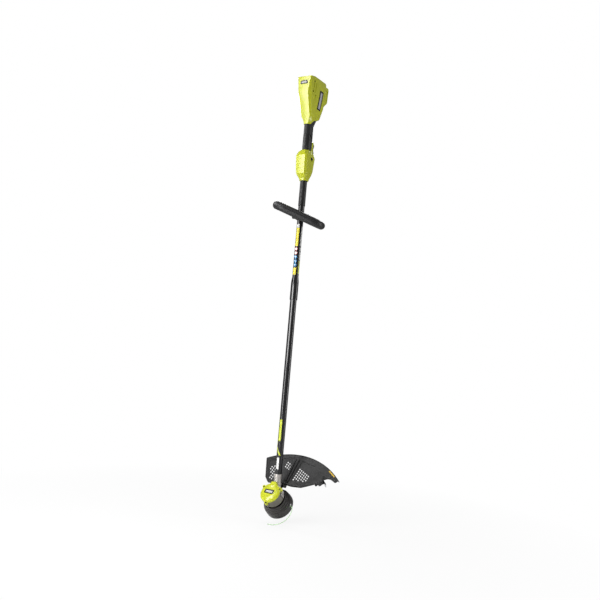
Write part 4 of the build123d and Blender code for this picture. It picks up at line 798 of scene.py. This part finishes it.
# piece, node, axis out of the head, head's radius and height, shank's radius, drive's radius
SCREWS = (
    ("housing_screw_set", "housing_screws", (-1, 0, 0), 0.0033, 0.0024, 0.002, 0.0019),
    ("clamp_screw_set", "handle_clamp_screws", CLAMP_AXIS, 0.0044, 0.0035, 0.0025, 0.0026),
    ("cap_screw_set", "cap_screws", HEAD_NORMAL, 0.0036, 0.0026, 0.0019, 0.002),
    ("guard_screw_set", "guard_screws", HEAD_NORMAL, 0.004, 0.0024, 0.0019, 0.0021),
    ("cutter_screw_set", "cutter_screws", -HEAD_NORMAL, 0.0026, 0.0016, 0.0013, 0.0014),
)
for name, node, axis, head_radius, head_height, shank_radius, drive_radius in SCREWS:
    axis = Vector(axis)
    places, length = screw_places(node, axis)
    piece = grow(name, screws, body_of[node], "screw_steel", SCREW, places, [axis] * len(places),
        Head_Radius=head_radius, Head_Height=head_height, Shank_Radius=shank_radius, Length=length,
        Drive_Radius=drive_radius)
    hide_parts(node)

# %% [markdown]
# ## Stickers that follow the tube
# The tube carries plain colour fields. A flat sticker would stand off a round tube, so
# the tree bends a grid, or a disc, round the axis: x becomes an angle and y a height. A slant
# turns a field into a diagonal band. Each field is a thin closed film, 0.15 mm thick, and a
# field that lies on another is in the layer above it.


# %% sticker tree
def wrap_tree():
    """A grid or disc bent round the tube's axis, as a thin closed film."""
    tree, given = new_tree("wrap", Radius=UPPER_R, Middle=0.0, Half_Angle=0.5, Low=0.0, High=0.01,
        Slant=0.0, Round=False, Film=0.00015)
    grid = geo(tree, "MeshGrid", Size_X=1.0, Size_Y=1.0, Vertices_X=19, Vertices_Y=5)
    disc = geo(tree, "MeshCircle", {"fill_type": "TRIANGLE_FAN"}, Vertices=24, Radius=0.5)
    fine = geo(tree, "SubdivideMesh", Mesh=disc.outputs[0], Level=2)
    pick = geo(tree, "Switch", {"input_type": "GEOMETRY"})
    tree.links.new(given["Round"], pick.inputs["Switch"])
    tree.links.new(grid.outputs[0], pick.inputs["False"])
    tree.links.new(fine.outputs[0], pick.inputs["True"])
    here = geo(tree, "InputPosition")
    split = geo(tree, "ShaderNodeSeparateXYZ")
    tree.links.new(here.outputs[0], split.inputs[0])
    wide = sums(tree, "MULTIPLY", given["Half Angle"], 2.0)
    angle = sums(tree, "MULTIPLY_ADD", split.outputs["X"], wide, given["Middle"])
    angle = sums(tree, "MULTIPLY_ADD", split.outputs["Y"], given["Slant"], angle)
    tall = sums(tree, "SUBTRACT", given["High"], given["Low"])
    up = sums(tree, "ADD", split.outputs["Y"], 0.5)
    height = sums(tree, "MULTIPLY_ADD", up, tall, given["Low"])
    x = sums(tree, "MULTIPLY", sums(tree, "SINE", angle), given["Radius"])
    other_way = sums(tree, "MULTIPLY", given["Radius"], -1.0)
    y = sums(tree, "MULTIPLY", sums(tree, "COSINE", angle), other_way)
    at = geo(tree, "ShaderNodeCombineXYZ", X=x, Y=y, Z=height)
    bent = geo(tree, "SetPosition", Geometry=pick.outputs[0], Position=at.outputs[0])
    close_tree(tree, given, film_of(tree, bent.outputs[0], given["Film"]))
    return tree


wrap = wrap_tree()
print("sticker tree:", len(wrap.nodes), "nodes")


# %% sticker finishes and fields
def film(name, colour, rough=(0.3, 0.42)):
    """A printed film: smooth, with a little gloss."""
    return finish(name, colour, rough, 0.05, 45, (900, 0.000008), Coat_Weight=0.3, Coat_Roughness=0.15)


YELLOW = film("film_yellow", (0.74, 0.63, 0.03))
AMBER = film("film_amber", (0.62, 0.4, 0.03))
PALE = film("film_pale", (0.62, 0.62, 0.6))
WHITE = film("film_white", (0.8, 0.8, 0.79))
RED = film("film_red", (0.55, 0.1, 0.09))
BLUE = film("film_blue", (0.04, 0.27, 0.56))
GREEN = film("film_green", (0.55, 0.62, 0.03))
NIGHT = film("film_dark", (0.006, 0.006, 0.007), (0.3, 0.42))

FRONT, LEFT = 0.0, 90.0
FIELD_LIFT = 0.00002
LAYER_LIFT = 0.00017
# name, tube's radius, middle angle, half angle, low and high in mm, slant, round, finish, layer;
# angles in degrees
FIELDS = (
    ("field_front_1", UPPER_R, FRONT, 29, 294, 309, 0, False, PALE, 0),
    ("field_front_2", UPPER_R, FRONT, 29, 249, 293, 0, False, YELLOW, 0),
    ("field_front_3", UPPER_R, FRONT, 29, 218, 247.5, 0, False, YELLOW, 0),
    ("field_front_5", UPPER_R, FRONT, 29, 102, 130, 0, False, YELLOW, 0),
    ("disc_red_1", UPPER_R, FRONT, 29, 200.2, 213.8, 0, True, RED, 0),
    ("disc_red_2", UPPER_R, FRONT, 29, 183.2, 196.8, 0, True, RED, 0),
    ("disc_pale_1", UPPER_R, FRONT, 22, 202.0, 212.0, 0, True, WHITE, 1),
    ("disc_pale_2", UPPER_R, FRONT, 22, 185.0, 195.0, 0, True, WHITE, 1),
    ("disc_blue_1", UPPER_R, FRONT, 29, 167.2, 180.8, 0, True, BLUE, 0),
    ("disc_blue_2", UPPER_R, FRONT, 29, 150.2, 163.8, 0, True, BLUE, 0),
    ("disc_blue_3", UPPER_R, FRONT, 29, 134.2, 147.8, 0, True, BLUE, 0),
    ("disc_core_1", UPPER_R, FRONT, 11, 171.5, 176.5, 0, True, WHITE, 1),
    ("disc_core_2", UPPER_R, FRONT, 11, 154.5, 159.5, 0, True, WHITE, 1),
    ("disc_core_3", UPPER_R, FRONT, 11, 138.5, 143.5, 0, True, WHITE, 1),
    ("field_side_1", UPPER_R, LEFT, 18, 219, 300, 0, False, PALE, 0),
    ("field_side_2", UPPER_R, LEFT, 18, 199, 214, 0, False, PALE, 0),
    ("field_side_3", UPPER_R, LEFT, 18, 162, 194, 0, False, PALE, 0),
    ("field_side_4", UPPER_R, LEFT, 18, 105, 158, 0, False, GREEN, 0),
    ("film_low", LOWER_R, FRONT, 120, -690, -447, 0, False, NIGHT, 0),
    ("field_low_1", LOWER_R, FRONT, 22, -562, -479, 0, False, GREEN, 1),
    ("line_low_1", LOWER_R, -49, 5, -590, -450, 0, False, GREEN, 1),
    ("band_low_1", LOWER_R, -8, 13, -619, -588, -72, False, GREEN, 1),
    ("bar_low_1", LOWER_R, 4, 20, -673, -628, 0, False, WHITE, 1),
)
for name, radius, middle, half, low, high, slant, disc, material, layer in FIELDS:
    grow(name, wrap, "trimmer", "badge_plastic", material,
        Radius=radius + FIELD_LIFT + LAYER_LIFT * layer, Middle=math.radians(middle),
        Half_Angle=math.radians(half), Low=low / 1000, High=high / 1000,
        Slant=math.radians(slant), Round=disc)

# %% [markdown]
# ## Inlays
# Each dark plate carries a lighter plain field, and the guard an amber one. An inlay is a small
# grid of points that is cast onto the surface along a ray, lifted by a fifth of a millimetre, and
# closed underneath.


# %% inlays
RAY_START = 0.03


def inlay(name, node, outward, corners, material, lift=0.0002, steps=6, drop=0.0006):
    """A thin field on a CAD surface, between four corners given in order round it."""
    cad = frame["nodes"][node].data
    target = BVHTree.FromPolygons([v.co for v in cad.vertices], [p.vertices for p in cad.polygons])
    outward = Vector(outward).normalized()
    a, b, c, d = (Vector(corner) for corner in corners)
    work = bmesh.new()
    rows = []
    for i in range(steps + 1):
        row = []
        for j in range(steps + 1):
            s, t = i / steps, j / steps
            aim = a.lerp(b, t).lerp(d.lerp(c, t), s)
            at = target.ray_cast(aim + outward * RAY_START, -outward)[0] or aim
            row.append((work.verts.new(at + outward * lift), work.verts.new(at - outward * drop)))
        rows.append(row)
    for i in range(steps):
        for j in range(steps):
            quad = (rows[i][j], rows[i][j + 1], rows[i + 1][j + 1], rows[i + 1][j])
            work.faces.new([pair[0] for pair in quad])
            work.faces.new([pair[1] for pair in reversed(quad)])
    edge = [rows[0][j] for j in range(steps)] + [rows[i][steps] for i in range(steps)]
    edge += [rows[steps][j] for j in range(steps, 0, -1)] + [rows[i][0] for i in range(steps, 0, -1)]
    for here, following in zip(edge, edge[1:] + edge[:1]):
        work.faces.new((here[1], following[1], following[0], here[0]))
    bmesh.ops.recalc_face_normals(work, faces=work.faces)
    mesh = bpy.data.meshes.new(name)
    work.to_mesh(mesh)
    work.free()
    mesh.materials.append(material)
    mesh.shade_smooth()
    mesh.set_sharp_from_angle(angle=math.radians(35))
    piece = bpy.data.objects.new(name, mesh)
    bpy.context.scene.collection.objects.link(piece)
    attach(piece, body_of[node])
    print(name, len(mesh.polygons), "faces")


INLAY = film("inlay_pale", (0.5, 0.5, 0.5))
SIDE_X = 0.032
SIDE_CORNERS = ((0.0205, 0.8635), (0.0345, 0.862), (0.0245, 0.7925), (0.011, 0.794))
FRONT_Y = -0.064
FRONT_CORNERS = ((-0.0115, 0.8785), (0.0115, 0.8785), (0.0105, 0.884), (-0.0095, 0.884))
CAP_T = 70
CAP_CORNERS = ((-15, -3.5), (15, -4.5), (16, 5), (-15, 5))
GUARD_T = 15
GUARD_CORNERS = ((182, 155), (213, 133.5), (216, 138), (185, 159.5))
for hand, side in (("left", 1), ("right", -1)):
    inlay("side_field_" + hand, "side_badge_" + hand, (side, 0, 0),
        [(side * SIDE_X, y, z) for y, z in SIDE_CORNERS], INLAY)
inlay("front_field", "front_badge", (0, -1, 0), [(x, FRONT_Y, z) for x, z in FRONT_CORNERS], INLAY)
inlay("cap_field", "motor_badge", HEAD_NORMAL, [on_head(u, g, CAP_T) for u, g in CAP_CORNERS], INLAY)
inlay("guard_patch", "guard", HEAD_NORMAL, [on_head(u, g, GUARD_T) for u, g in GUARD_CORNERS], AMBER)

# %% [markdown]
# ## The guard's rolled rim
# A thin moulded sheet gets its stiffness from a rolled rim. A tube of small radius along the
# outline does this: the tree turns the outline into a curve, rounds its corners and sweeps a
# circle along it.


# %% rim tree
def rim_tree():
    """A round bead along a closed outline."""
    tree, given = new_tree("rim", Bead=0.0016, Corner=0.006)
    path = geo(tree, "MeshToCurve", Mesh=given["Geometry"])
    soft = geo(tree, "FilletCurve", {"mode": "POLY"}, Curve=path.outputs[0], Radius=given["Corner"],
        Count=6, Limit_Radius=True)
    section = geo(tree, "CurvePrimitiveCircle", Resolution=14, Radius=given["Bead"])
    swept = geo(tree, "CurveToMesh", Curve=soft.outputs[0], Profile_Curve=section.outputs[0])
    close_tree(tree, given, swept.outputs[0])
    return tree


rim = rim_tree()
print("rim tree:", len(rim.nodes), "nodes")

# %% the rim
# All in millimetres of the head: an arc round RIM_CENTRE, and the corners of the near edge.
RIM_CENTRE = (29.0, -104.6)
RIM_RADIUS = 307.6
RIM_T = 15.1
RIM_START, RIM_STOP = math.radians(48.6), math.radians(117.0)
RIM_STEPS = 48
RIM_EDGE = (
    (229.5, 123), (222.5, 117), (213.5, 121.8), (198.5, 128.3), (185, 128), (169, 121),
    (171, 106.5), (161.5, 95.2), (140.5, 96), (102.5, 78), (86.8, 71), (44, 68), (-4, 73),
    (-42, 69), (-64, 68.2), (-81.2, 85.2),
)
outline = []
for i in range(RIM_STEPS + 1):
    a = RIM_START + (RIM_STOP - RIM_START) * i / RIM_STEPS
    u, g = RIM_CENTRE[0] + RIM_RADIUS * math.cos(a), RIM_CENTRE[1] + RIM_RADIUS * math.sin(a)
    outline.append(on_head(u, g, RIM_T))
outline += [on_head(u, g, RIM_T) for u, g in reversed(RIM_EDGE)]
edges = [(i, (i + 1) % len(outline)) for i in range(len(outline))]
grow("guard_rim", rim, "trimmer", "black_plastic", BLACK, outline, edges=edges)

# %% [markdown]
# ## Carried-over nodes
# Small and inner CAD nodes keep their own mesh. Each only needs a finish.

# %% finishes for nodes
NODE_FINISHES = {
    "terminal_block": BLACK, "battery_terminals": BRASS, "battery_ejector": BLACK,
    "ejector_spring": SPRING, "controller_board": BOARD, "controller_heatsink": ALLOY,
    "side_badge_left": DARK_PLATE, "side_badge_right": DARK_PLATE, "front_badge": DARK_PLATE,
    "lever_spring": SPRING, "trigger_pin": STEEL, "trigger_switch": BLACK, "switch_plunger": BLACK,
    "snap_button": STEEL, "button_spring": SPRING, "handle_liner": BLACK, "motor_endplate": ALLOY,
    "motor_bearings": STEEL, "motor_stator": STEEL, "stator_coils": COPPER, "motor_rotor": STEEL,
    "motor_spindle": STEEL, "spindle_nut": STEEL, "line_eyelets": ALLOY, "spool_reel": BLACK,
    "wound_line": NYLON, "bump_spring": SPRING,
}
for node, material in NODE_FINISHES.items():
    mesh = frame["nodes"][node].data
    mesh.materials.clear()
    mesh.materials.append(material)
left_bare = [n for n, o in frame["nodes"].items() if not o.hide_render and n not in NODE_FINISHES]
print("nodes with a finish:", len(NODE_FINISHES), "left bare:", left_bare)
